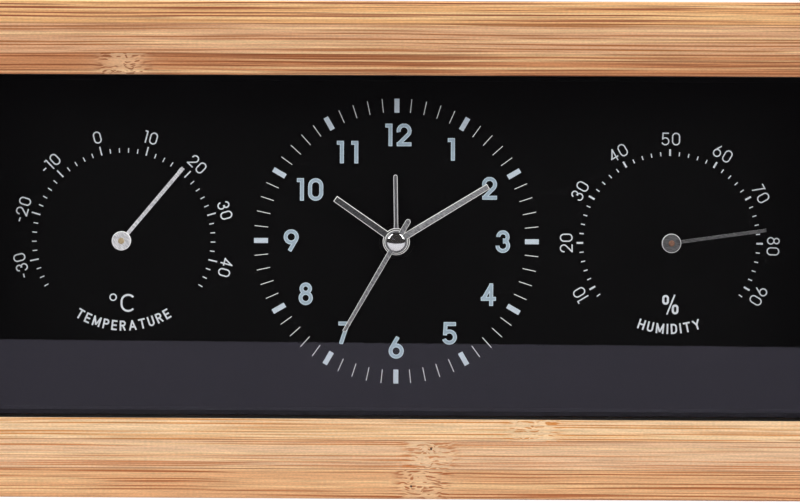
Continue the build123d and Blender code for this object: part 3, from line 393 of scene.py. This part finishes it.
uneven(
    "pale_softwood",
    ["corner_blocks"],
    (214, 184, 140),
    (188, 152, 108),
    1.1 * mm,
    0.7,
    relief=0.1 * mm,
    stretch=(1, 1, 0.08),
)

# Lens: one clear acrylic sheet, held in a groove round the frame. It mirrors the table in front of it
# in its lower part. Light from lamps reaches the dial through it.
lens, tree, shader = new_material(
    "clear_sheet",
    base_color=(0.985, 0.985, 0.985, 1),
    roughness=0.0,
    ior=1.33,
    transmission_weight=1.0,
    specular_tint=(0.8, 0.75, 0.95, 1),
)
rays = tree.nodes.new("ShaderNodeLightPath").outputs
open_rays = tree.sum("MAXIMUM", rays["Is Shadow Ray"], rays["Is Diffuse Ray"])
clear = tree.add("ShaderNodeBsdfTransparent", {})
both = tree.add("ShaderNodeMixShader", {0: open_rays, 1: shader.outputs[0], 2: clear})
tree.links.new(both, tree.nodes["Material Output"].inputs[0])
dress(lens, "lens")

# Spacers: four strips of black foamed sheet between the lens and the dial, cut to length and stuck
# round the edge of the opening.
uneven(
    "black_foam_sheet",
    ["spacer_top", "spacer_bottom", "spacer_left", "spacer_right"],
    (12, 12, 12),
    (18, 18, 19),
    0.4 * mm,
    0.85,
    relief=0.05 * mm,
    specular_ior_level=0.05,
)

# Dial: one black sheet with a fine matt surface, stuck on a fibre board. Its three scales are screen
# printed. The place below the hub stays bare.
uneven(
    "black_dial_sheet",
    ["dial_face"],
    (8, 8, 8),
    (11, 11, 11),
    0.25 * mm,
    0.75,
    relief=0.01 * mm,
    specular_ior_level=0.03,
)
uneven(
    "fibre_board",
    ["dial_backer"],
    (122, 92, 62),
    (94, 68, 44),
    0.5 * mm,
    0.85,
    relief=0.08 * mm,
)

# Clock scale: forty-eight fine lines, twelve pale blue blocks, and upright numbers printed in two
# passes, a pale one and a greyer one inside it that leaves a pale edge. Each number stands a little
# aside of its place, to the right, by a share of a millimetre.
dial_front = -12.3 * mm
hub_height = 51.3 * mm
ink_height = 0.02 * mm
ink_layer = 0.003 * mm
ink_edge = 0.15 * mm
minute_ring = (26.37 * mm, 29.15 * mm, 0.14 * mm)
hour_ring = (26.25 * mm, 29.1 * mm, 1.03 * mm)
number_reach = 21.7 * mm
two_digit_reach = 20.95 * mm
number_half = 1.9 * mm
number_pen = 0.8 * mm
number_gap = 0.86 * mm
wide_gap = 1.5 * mm
number_aside = (0.3, 0.2, 0.05, 0.05, 0.1, 0.05, 0.3, 0.3, 0.2, 0.45, 0.42, 0.33)
step_angle = 7

# The strokes of each sign, for a sign two units high round the origin: a start, a heading in degrees
# from the reader's right, and the moves from there.
strokes = {
    "0": [(-0.6, 0.4, 90, (0.6, -180), 0.8, (0.6, -180), 0.8)],
    "1": [(0.12, -1, 90, 2), (-0.22, 1, 0, 0.34)],
    "2": [(-0.57, 0.3, 103, (0.59, -238), 1.3), (-0.57, -1, 0, 1.16)],
    "3": [(-0.47, 0.5, 90, (0.5, -270)), (0.02, 0.14, 0, (0.57, -270))],
    "4": [(0.3, -1, 90, 2), (-0.6, -0.45, 0, 1.2), (-0.5, -0.38, 59.9, 1.5)],
    "5": [(-0.46, -0.014, 50, (0.6, -300)), (-0.4, 1, -93.4, 1), (-0.4, 1, 0, 0.9)],
    "6": [(0.6, -0.4, 90, (0.6, 360)), (0.075, 0.93, -120, 1)],
    "7": [(-0.37, 1, 0, 0.87), (0.42, 1, -108.4, 2.11)],
    "8": [(0.45, 0.55, 90, (0.45, 360)), (0.55, -0.45, 90, (0.55, 360))],
    "9": [(-0.6, 0.4, -90, (0.6, 360)), (-0.075, -0.93, 60, 1)],
    "-": [(-0.25, 0, 0, 0.5)],
    "C": [(0.66, 0.71, 130, (0.82, 140), 0.36, (0.82, 140))],
    "o": [(1, 0, 90, (1, 360))],
    "T": [(-0.6, 1, 0, 1.2), (0, -1, 90, 2)],
    "E": [(-0.5, -1, 90, 2), (-0.5, 1, 0, 0.95), (-0.5, 0, 0, 0.85), (-0.5, -1, 0, 0.95)],
    "M": [(-0.75, -1, 90, 2), (0.75, -1, 90, 2), (-0.7, 0.9, -67.6, 1.7), (0.7, 0.9, -112.4, 1.7)],
    "P": [(-0.5, -1, 90, 2), (-0.5, 1, 0, 0.55, (0.5, -180), 0.55)],
    "R": [(-0.5, -1, 90, 2), (-0.5, 1, 0, 0.55, (0.5, -180), 0.55), (0.05, 0, -63.4, 1.12)],
    "A": [(0, 1, -109.3, 2.12), (0, 1, -70.7, 2.12), (-0.4, -0.4, 0, 0.8)],
    "U": [(-0.55, 1, -90, 1.45, (0.55, 180), 1.45)],
    "H": [(-0.6, -1, 90, 2), (0.6, -1, 90, 2), (-0.6, 0, 0, 1.2)],
    "I": [(0, -1, 90, 2)],
    "D": [(-0.55, -1, 90, 2), (-0.55, 1, 0, 0.45, (0.65, -90), 0.7, (0.65, -90), 0.45)],
    "Y": [(-0.65, 1, -57, 1.19), (0.65, 1, -123, 1.19), (0, 0, -90, 1)],
    "/": [(-0.4, -1, 68.2, 2.15)],
}


def pen_stroke(bm, start_x, start_z, heading, moves, width, layer):
    """One stroke of a flat square pen. A number is a straight run, a pair a bend's radius and angle."""
    bends = [move for move in moves if isinstance(move, tuple)]
    closed = isinstance(moves[0], tuple) and abs(sum(angle for _, angle in bends)) == 360
    moves = list(moves)
    ahead = Vector((math.cos(math.radians(heading)), 0, math.sin(math.radians(heading))))
    place = Vector((start_x, -layer, start_z))
    if not closed and not isinstance(moves[0], tuple):
        place -= ahead * width / 2
        moves[0] += width / 2
    if not closed and not isinstance(moves[-1], tuple):
        moves[-1] += width / 2
    aside = Vector((-ahead.z, 0, ahead.x))
    ends = [bm.verts.new(place - aside * width / 2), bm.verts.new(place + aside * width / 2)]
    edge = bm.edges.new(ends)
    for move in moves:
        if isinstance(move, tuple):
            radius, angle = move
            side = math.copysign(1, angle)
            made = bmesh.ops.spin(
                bm,
                geom=[edge, *edge.verts],
                cent=place + aside * radius * side,
                axis=(0, -side, 0),
                angle=math.radians(abs(angle)),
                steps=max(4, round(abs(angle) / step_angle)),
            )["geom_last"]
            edge = next(e for e in made if isinstance(e, bmesh.types.BMEdge))
            turned = Matrix.Rotation(math.radians(-angle), 3, "Y")
            place = place + aside * radius * side - turned @ (aside * radius * side)
            ahead = turned @ ahead
            aside = turned @ aside
        else:
            made = bmesh.ops.extrude_edge_only(bm, edges=[edge])["geom"]
            edge = next(
                e
                for e in made
                if isinstance(e, bmesh.types.BMEdge) and all(v in made for v in e.verts)
            )
            bmesh.ops.translate(bm, verts=list(edge.verts), vec=ahead * move)
            place = place + ahead * move


def glyph(bm, sign, half, width, matrix, inset=0.0):
    """One sign drawn round the origin, its strokes cut flat at top and foot, then put where it belongs."""
    one = bmesh.new()
    for i, (start_x, start_z, heading, *moves) in enumerate(strokes[sign]):
        sized = [(m[0] * half, m[1]) if isinstance(m, tuple) else m * half for m in moves]
        start = (start_x * half, start_z * half)
        pen_stroke(one, *start, heading, sized, width - 2 * inset, i * ink_layer)
    for way in (-1, 1):
        bmesh.ops.bisect_plane(
            one,
            geom=[*one.verts, *one.edges, *one.faces],
            plane_co=(0, 0, way * (half + width / 2 - inset)),
            plane_no=(0, 0, way),
            clear_outer=True,
        )
    bmesh.ops.remove_doubles(one, verts=one.verts, dist=0.001 * mm)
    reach = [v.co.x for v in one.verts]
    bmesh.ops.transform(one, matrix=matrix, verts=one.verts)
    mesh = bpy.data.meshes.new("sign")
    one.to_mesh(mesh)
    one.free()
    bm.from_mesh(mesh)
    bpy.data.meshes.remove(mesh)
    return min(reach), max(reach)


def clock_turn(angle):
    """A turn clockwise for the reader, in degrees from upright."""
    return Matrix.Rotation(math.radians(angle), 4, "Y")


def measured(words, half, width, gap):
    """How far each sign reaches to its left and right, and half the length of them all."""
    scratch = bmesh.new()
    spans = [glyph(scratch, sign, half, width, Matrix()) for sign in words]
    scratch.free()
    return spans, (sum(high - low for low, high in spans) + gap * (len(words) - 1)) / 2


def write_line(bm, words, matrix, half, width, gap, inset=0.0):
    """Signs side by side, centred on the matrix's place."""
    spans, half_length = measured(words, half, width, gap)
    left = -half_length
    for sign, (low, high) in zip(words, spans):
        glyph(bm, sign, half, width, matrix @ Matrix.Translation((left - low, 0, 0)), inset)
        left += high - low + gap


def new_piece(name, bm, material):
    """The object made of this mesh, which is freed."""
    mesh = bpy.data.meshes.new(name)
    bm.to_mesh(mesh)
    bm.free()
    piece = bpy.data.objects.new(name, mesh)
    bpy.context.scene.collection.objects.link(piece)
    mesh.materials.append(material)
    return piece


def printed(bm, name, height, material):
    """Gives the ink its thickness, lays it on the dial and lets it ride with the housing."""
    made = bmesh.ops.extrude_face_region(bm, geom=bm.faces, use_keep_orig=True)["geom"]
    raised = [v for v in made if isinstance(v, bmesh.types.BMVert)]
    bmesh.ops.translate(bm, verts=raised, vec=(0, -height, 0))
    bmesh.ops.translate(bm, verts=bm.verts, vec=(0, dial_front, 0))
    bmesh.ops.recalc_face_normals(bm, faces=bm.faces)
    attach(new_piece(name, bm, material), "housing")


def ring_of_lines(bm, centre, angles, inner, outer, width):
    """Lines that point at the centre, at these clock angles."""
    for angle in angles:
        matrix = Matrix.Translation(centre) @ clock_turn(angle)
        line = bmesh.ops.create_grid(bm, x_segments=1, y_segments=1, size=0.5)["verts"]
        bmesh.ops.scale(bm, vec=(width, outer - inner, 1), verts=line)
        bmesh.ops.rotate(bm, matrix=Matrix.Rotation(math.radians(90), 3, "X"), verts=line)
        bmesh.ops.translate(bm, vec=(0, 0, (inner + outer) / 2), verts=line)
        bmesh.ops.transform(bm, matrix=matrix, verts=line)


def ink(name, colour, second):
    """Screen ink of two close colours, with a soft gloss."""
    return uneven(name, [], colour, second, 0.12 * mm, 0.55, specular_ior_level=0.3)


clock_centre = Vector((0, 0, hub_height))
pale_ink = ink("pale_blue_ink", (202, 218, 227), (190, 207, 217))
grey_ink = ink("grey_blue_ink", (162, 182, 195), (152, 171, 185))
block_ink = ink("block_ink", (202, 213, 222), (190, 202, 212))
line_ink = ink("fine_line_ink", (240, 241, 239), (228, 230, 228))

minutes = bmesh.new()
ring_of_lines(minutes, clock_centre, [turn for turn in range(0, 360, 6) if turn % 30], *minute_ring)
printed(minutes, "minute_lines", ink_height, line_ink)

blocks = bmesh.new()
ring_of_lines(blocks, clock_centre, range(0, 360, 30), *hour_ring)
printed(blocks, "hour_blocks", ink_height, block_ink)

for name, inset, height, colour in (
    ("clock_numbers_edge", 0.0, ink_height, pale_ink),
    ("clock_numbers", ink_edge, 1.5 * ink_height, grey_ink),
):
    numbers = bmesh.new()
    for hour in range(1, 13):
        reach = two_digit_reach if hour in (10, 11) else number_reach
        centre = clock_centre + clock_turn(30 * hour).to_3x3() @ Vector((0, 0, reach))
        centre.x += number_aside[hour - 1] * mm
        gap = wide_gap if hour == 11 else number_gap
        write_line(numbers, str(hour), Matrix.Translation(centre), number_half, number_pen, gap, inset)
    printed(numbers, name, height, colour)

# Meter scales: majors every ten, minors every two, and numbers that stand outwards round the ring. The
# unit stands under each needle, with a plain word for what is measured on an arc below it. The lines'
# inner and outer ends and widths, the reaches and the pens are in mm, the turns in degrees.
meter_offset = 55.8 * mm
meter_ink = ink("meter_ink", (222, 226, 230), (206, 211, 216))
meters = {
    "thermometer": {
        "centre": -meter_offset,
        "turn": 2.94,
        "middle": 5,
        "marks": range(-36, 47, 2),
        "majors": (17.82, 19.65, 0.28),
        "minors": (17.82, 18.78, 0.21),
        "reach": 21.6,
        "aside": {-30: -1.5, 40: 2.0},
        "half": 1.12,
        "pen": 0.27,
        "word": "TEMPERATURE",
        "word_reach": 17.55,
    },
    "hygrometer": {
        "centre": meter_offset,
        "turn": 3.02,
        "middle": 50,
        "marks": range(8, 93, 2),
        "majors": (17.66, 19.0, 0.37),
        "minors": (17.66, 18.5, 0.22),
        "reach": 21.1,
        "aside": {50: 0.4, 60: 0.4, 70: 1.4, 80: 1.3},
        "half": 1.18,
        "pen": 0.25,
        "word": "HUMIDITY",
        "word_reach": 17.67,
    },
}
digit_gap = 0.52 * mm
letter_half = 0.86 * mm
letter_pen = 0.34 * mm
letter_gap = 0.52 * mm
for name, scale in meters.items():
    centre = Vector((scale["centre"], 0, hub_height))
    turns = {mark: (mark - scale["middle"]) * scale["turn"] for mark in scale["marks"]}
    bm = bmesh.new()
    majors = [turn for mark, turn in turns.items() if mark % 10 == 0]
    minors = [turn for mark, turn in turns.items() if mark % 10]
    ring_of_lines(bm, centre, majors, *[value * mm for value in scale["majors"]])
    ring_of_lines(bm, centre, minors, *[value * mm for value in scale["minors"]])
    for mark, turn in turns.items():
        if mark % 10 == 0:
            matrix = Matrix.Translation(centre) @ clock_turn(turn + scale["aside"].get(mark, 0))
            matrix = matrix @ Matrix.Translation((0, 0, scale["reach"] * mm))
            write_line(bm, str(mark), matrix, scale["half"] * mm, scale["pen"] * mm, digit_gap)
    spans, half_arc = measured(scale["word"], letter_half, letter_pen, letter_gap)
    along = -half_arc
    for sign, (low, high) in zip(scale["word"], spans):
        middle = along + (high - low) / 2
        turn = 180 - math.degrees(middle / (scale["word_reach"] * mm))
        matrix = Matrix.Translation(centre) @ clock_turn(turn)
        matrix = matrix @ Matrix.Translation((0, 0, scale["word_reach"] * mm)) @ clock_turn(180)
        matrix = matrix @ Matrix.Translation((-(low + high) / 2, 0, 0))
        glyph(bm, sign, letter_half, letter_pen, matrix)
        along += high - low + letter_gap
    printed(bm, f"{name}_scale", ink_height, meter_ink)

units = bmesh.new()
for sign, meter, right, up, half, pen in (
    ("C", "thermometer", 0.93, -12.9, 1.64, 0.4),
    ("o", "thermometer", -2.1, -11.75, 0.64, 0.27),
    ("0", "hygrometer", -0.78, -11.73, 0.78, 0.44),
    ("0", "hygrometer", 1.16, -13.68, 0.78, 0.44),
    ("/", "hygrometer", 0.28, -12.7, 1.9, 0.3),
):
    at = Vector((meters[meter]["centre"], 0, hub_height)) + Vector((right, 0, up)) * mm
    glyph(units, sign, half * mm, pen * mm, Matrix.Translation(at))
printed(units, "unit_signs", ink_height, meter_ink)

# Works: a black moulded case in two halves, with a plate between the wheels' pivots. Two small screws
# hold its ears to the dial board, and four more hold the meters' cups.
uneven(
    "black_works_moulding",
    ["front_case", "back_case"],
    (9, 9, 9),
    (12, 12, 12),
    0.5 * mm,
    0.65,
    specular_ior_level=0.06,
    relief=0.02 * mm,
)
uneven(
    "natural_works_moulding",
    ["mid_plate", "coil_bobbin"],
    (214, 211, 200),
    (198, 194, 182),
    0.8 * mm,
    0.5,
)
uneven(
    "plated_screw",
    ["works_screws", "meter_screws"],
    (170, 170, 174),
    (138, 138, 142),
    0.6 * mm,
    0.34,
    metallic=1.0,
)

# Step motor: a magnet on a plastic arbor turns between soft iron arms. A coil of enamelled copper wire
# on a bobbin drives it.
uneven("magnet", ["rotor_magnet"], (70, 68, 68), (48, 47, 48), 0.4 * mm, 0.42, metallic=0.7)
uneven(
    "soft_iron",
    ["stator", "coil_core"],
    (150, 152, 156),
    (118, 120, 124),
    0.9 * mm,
    0.38,
    metallic=1.0,
)
uneven(
    "copper_wire",
    ["coil_winding"],
    (196, 108, 62),
    (140, 66, 34),
    0.16 * mm,
    0.3,
    relief=0.08 * mm,
    stretch=(0.1, 0.1, 1),
    metallic=1.0,
)

# Going train: moulded wheels with their pinions, and a centre wheel that slips on the minute pipe when
# the hands are set.
uneven(
    "white_wheel_moulding",
    ["rotor_arbor", "intermediate_wheel", "third_wheel", "seconds_wheel"],
    (226, 224, 214),
    (206, 203, 190),
    0.7 * mm,
    0.42,
)
uneven(
    "brass",
    ["centre_wheel", "minute_pipe", "hour_wheel", "alarm_wheel"],
    (214, 176, 104),
    (180, 138, 74),
    0.5 * mm,
    0.3,
    metallic=1.0,
)

# Setting and alarm work: a motion wheel and an alarm shaft that the knobs turn, a spring leaf, and a
# thin brass disc that sounds behind the cover's holes.
uneven(
    "black_wheel_moulding",
    ["motion_wheel", "alarm_shaft"],
    (30, 30, 31),
    (44, 44, 45),
    0.6 * mm,
    0.4,
)
uneven(
    "spring_metal",
    ["alarm_contact", "positive_contact", "negative_contact"],
    (196, 196, 190),
    (160, 160, 154),
    0.7 * mm,
    0.28,
    metallic=1.0,
)
uneven("sounder_brass", ["buzzer"], (206, 168, 96), (174, 134, 70), 0.6 * mm, 0.34, metallic=1.0)

# Circuit: a small green board with a black drop of resin over its chip, and the crystal's bright can.
uneven("green_board", ["circuit_board"], (34, 84, 54), (26, 66, 42), 0.5 * mm, 0.4, relief=0.02 * mm)
uneven("black_resin", ["clock_chip"], (18, 18, 19), (26, 26, 27), 0.7 * mm, 0.25, relief=0.04 * mm)
uneven("crystal_can", ["quartz_crystal"], (200, 202, 206), (172, 174, 178), 0.6 * mm, 0.22, metallic=1.0)

# Cell: one small round cell in a plain dark sleeve, between two plated spring contacts.
uneven("cell_sleeve", ["battery_cell"], (40, 44, 52), (30, 33, 40), 1.2 * mm, 0.3, relief=0.01 * mm)

# Meters: moulded cups on the back of the dial board. In each, a coil of two-layer metal turns the staff
# that carries the needle.
uneven(
    "black_cup_moulding",
    ["thermometer_cup", "hygrometer_cup"],
    (26, 26, 27),
    (36, 36, 37),
    0.6 * mm,
    0.5,
)
uneven(
    "two_layer_metal",
    ["thermometer_coil", "hygrometer_coil"],
    (176, 158, 130),
    (150, 140, 128),
    0.5 * mm,
    0.3,
    metallic=1.0,
    stretch=(1, 0.1, 1),
)
for name, node, colour, second, roughness in (
    ("staff_brass", "thermometer_staff", (226, 206, 172), (202, 176, 134), 0.36),
    ("staff_copper", "hygrometer_staff", (168, 126, 106), (134, 96, 78), 0.38),
):
    uneven(name, [node], colour, second, 0.2 * mm, roughness, metallic=0.6)

streaks_a_metre = (5200, 200, 1100)
flat_share = 0.95


def stamped(name, node, angle, face, streak, edge, metallic=0.7):
    """Thin stamped metal, brushed along its length at this clock angle, whose cut edges carry a painted
    highlight: a pale matt colour where the face tilts away from flat.
    """
    material, tree, shader = new_material(name, metallic=metallic)
    values = {"Vector": placed_on(tree), "Axis": (0, 1, 0), "Angle": math.radians(angle)}
    place = tree.add("ShaderNodeVectorRotate", values, rotation_type="AXIS_ANGLE")
    streaks = tree.noise(tree.vector("MULTIPLY", place, streaks_a_metre), detail=2)
    face_way = tree.parts(tree.nodes.new("ShaderNodeNewGeometry").outputs["True Normal"])
    # Cut edges, where the face tilts: they take the edge colour as a painted highlight, matt and not
    # metallic.
    painted_highlight_mask = tree.sum("LESS_THAN", tree.sum("ABSOLUTE", face_way["Y"]), flat_share)
    colour = tree.mix(tree.between(streaks, 0.3, 0.7), paint(*face), paint(*streak))
    tree.fill(shader.inputs["Base Color"], tree.mix(painted_highlight_mask, colour, paint(*edge)))
    tree.fill(shader.inputs["Roughness"], tree.between(streaks, 0.2, 0.8, 0.32, 0.46))
    tree.fill(shader.inputs["Metallic"], tree.between(painted_highlight_mask, 0, 1, metallic, 0))
    tree.fill(shader.inputs["Normal"], tree.bump(streaks, 0.15, 0.01 * mm))
    dress(material, node)


# Needles: the last colour of each is the painted highlight on its cut edges.
stamped(
    "bright_needle",
    "thermometer_needle",
    40,
    (242, 241, 244),
    (188, 188, 192),
    (255, 255, 255),
    metallic=0.3,
)
stamped(
    "dark_needle",
    "hygrometer_needle",
    82,
    (118, 117, 118),
    (80, 80, 82),
    (214, 214, 214),
    metallic=0.55,
)

# Hands: stamped and brushed metal on round bosses. The edge colour of each is a painted highlight on its
# cut edges.
for hand, angle, face, streak, edge, metallic in (
    ("hour_hand", 304.9, (106, 106, 108), (62, 62, 64), (255, 255, 252), 0.7),
    ("minute_hand", 58.7, (182, 182, 184), (124, 124, 127), (255, 255, 252), 0.5),
    ("second_hand", 210, (166, 166, 169), (114, 114, 117), (255, 255, 252), 0.7),
    ("alarm_hand", 359, (130, 130, 133), (92, 92, 95), (240, 240, 240), 0.7),
):
    stamped(f"{hand}_metal", hand, angle, face, streak, edge, metallic)

# Dome: a small turned and polished cap over the end of the second hand's arbor.
dome_radius = 1.97 * mm
dome_rise = 0.65 * mm
dome_rim = -16.6 * mm
dome_back = -16.3 * mm
chrome, tree, shader = new_material("chrome", metallic=1.0)
wear = tree.noise(placed_on(tree), 900, 3)
tree.fill(shader.inputs["Base Color"], tree.mix(wear, paint(226, 226, 228), paint(216, 216, 219)))
tree.fill(shader.inputs["Roughness"], tree.between(wear, 0.3, 0.7, 0.03, 0.06))
bm = bmesh.new()
bmesh.ops.create_uvsphere(bm, u_segments=96, v_segments=64, radius=1)
bmesh.ops.rotate(bm, matrix=Matrix.Rotation(math.radians(90), 3, "X"), verts=bm.verts)
bmesh.ops.bisect_plane(
    bm,
    geom=[*bm.verts, *bm.edges, *bm.faces],
    plane_co=(0, 0, 0),
    plane_no=(0, 1, 0),
    clear_outer=True,
)
bmesh.ops.scale(bm, vec=(dome_radius, dome_rise, dome_radius), verts=bm.verts)
rim = [edge for edge in bm.edges if edge.is_boundary]
made = bmesh.ops.extrude_edge_only(bm, edges=rim)["geom"]
wall = [v for v in made if isinstance(v, bmesh.types.BMVert)]
bmesh.ops.translate(bm, verts=wall, vec=(0, dome_back - dome_rim, 0))
bmesh.ops.holes_fill(bm, edges=[edge for edge in bm.edges if edge.is_boundary], sides=0)
bmesh.ops.translate(bm, verts=bm.verts, vec=(0, dome_rim, hub_height))
bmesh.ops.recalc_face_normals(bm, faces=bm.faces)
for face in bm.faces:
    face.smooth = len(face.verts) < 5
dome = new_piece("polished_dome", bm, chrome)
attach(dome, "second_hand")
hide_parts("second_hand_cap")

# Back: a moulded cover with a fine grain, the door over the cell, two ribbed knobs, the alarm switch
# and four screws.
uneven(
    "grained_cover",
    ["back_cover", "battery_door"],
    (26, 26, 27),
    (34, 34, 35),
    0.35 * mm,
    0.55,
    relief=0.06 * mm,
)
uneven(
    "smooth_knob",
    ["time_set_knob", "alarm_set_knob", "alarm_switch"],
    (30, 30, 31),
    (40, 40, 41),
    0.8 * mm,
    0.36,
    relief=0.01 * mm,
)
uneven("cover_screw", ["cover_screws"], (60, 60, 62), (40, 40, 42), 0.5 * mm, 0.36, metallic=1.0)

# Studio: a pale table whose front edge lies a third of a metre before the object, two soft boxes beside
# the camera, one above and behind, and a black cloth round the camera that only reflections see.
table_width = 3.2
table_depth = 1.9
table_front = -363 * mm
table_turn = 3.1
table_glow = 0.32
tent_radius = 2.4
tent_front = -0.1
pale_table, tree, shader = new_material(
    "pale_table",
    roughness=0.7,
    specular_ior_level=0.2,
    emission_color=(1, 1, 1, 1),
)
clouds = tree.noise(placed_on(tree), 40, 2)
cloudy = tree.mix(clouds, paint(236, 235, 240), paint(232, 231, 237))
tree.fill(shader.inputs["Base Color"], cloudy)
rays = tree.nodes.new("ShaderNodeLightPath").outputs
glowing = tree.sum("MULTIPLY", rays["Is Camera Ray"], table_glow)
tree.fill(shader.inputs["Emission Strength"], glowing)
bm = bmesh.new()
bmesh.ops.create_grid(bm, x_segments=1, y_segments=1, size=0.5)
bmesh.ops.scale(bm, vec=(table_width, table_depth, 1), verts=bm.verts)
bmesh.ops.translate(bm, vec=(0, table_front + table_depth / 2, 0), verts=bm.verts)
bmesh.ops.rotate(bm, matrix=Matrix.Rotation(math.radians(table_turn), 3, "Z"), verts=bm.verts)
new_piece("table", bm, pale_table)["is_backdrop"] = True

cloth, tree, shader = new_material(
    "dark_cloth",
    base_color=(0, 0, 0, 1),
    roughness=1.0,
    specular_ior_level=0.0,
    emission_color=(1, 0.93, 0.88, 1),
    emission_strength=0.05,
)
bm = bmesh.new()
bmesh.ops.create_icosphere(bm, subdivisions=4, radius=tent_radius)
bmesh.ops.bisect_plane(
    bm,
    geom=[*bm.verts, *bm.edges, *bm.faces],
    plane_co=(0, tent_front, 0),
    plane_no=(0, 1, 0),
    clear_outer=True,
)
tent = new_piece("dark_cloth", bm, cloth)
tent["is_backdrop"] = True
tent.visible_camera = False
tent.visible_diffuse = False
tent.visible_shadow = False

light_target = Vector((0, 0, 50 * mm))


def soft_box(name, width, height, place, power):
    """A lit panel in watts that faces the object's middle."""
    light = bpy.data.lights.new(name, "AREA")
    light.shape = "RECTANGLE"
    light.size = width
    light.size_y = height
    light.energy = power
    lamp = bpy.data.objects.new(name, light)
    lamp.location = place
    lamp.rotation_euler = (light_target - Vector(place)).to_track_quat("-Z", "Y").to_euler()
    bpy.context.scene.collection.objects.link(lamp)


soft_box("left_box", 0.8, 1.0, (-0.95, -0.62, 0.9), 10.1)
soft_box("right_box", 0.8, 1.0, (0.95, -0.62, 0.9), 10.1)
soft_box("top_box", 1.2, 0.8, (0, 0.25, 1.3), 5.4)

# Surroundings: white to the camera, to reflections and through the lens, dimmer to surfaces.
seen_level = 1.0
fill_level = 0.37
world = bpy.data.worlds.new("studio")
bpy.context.scene.world = world
world.use_nodes = True
tree = Tree(world.node_tree)
rays = tree.nodes.new("ShaderNodeLightPath").outputs
seen = tree.sum("MAXIMUM", rays["Is Camera Ray"], rays["Is Glossy Ray"])
seen = tree.sum("MAXIMUM", seen, rays["Is Transmission Ray"])
level = tree.sum("ADD", tree.sum("MULTIPLY", seen, seen_level - fill_level), fill_level)
background = tree.nodes["Background"]
background.inputs["Color"].default_value = (1, 1, 1, 1)
tree.links.new(level, background.inputs["Strength"])

# Camera: upright, a little above the object's middle, and shifted down to it. It stands just right of
# the middle and turns back to it, with the small roll of the photo.
camera_distance = 520 * mm
camera_height = 78 * mm
camera_aside = 6 * mm
camera_roll = -0.24
camera_turn = 0.588
camera_data = bpy.data.cameras.new("camera")
camera_data.sensor_width = 36
camera_data.lens = 116.65
camera_data.shift_x = 0.0004
camera_data.shift_y = -0.1763
camera_data.clip_start = 0.01
camera = bpy.data.objects.new("camera", camera_data)
camera.location = (camera_aside, -frame_depth / 2 - camera_distance, camera_height)
camera.rotation_euler = [math.radians(turn) for turn in (90, camera_roll, camera_turn)]
bpy.context.scene.collection.objects.link(camera)
bpy.context.scene.camera = camera
bpy.context.scene.view_settings.view_transform = "Standard"

low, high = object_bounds()
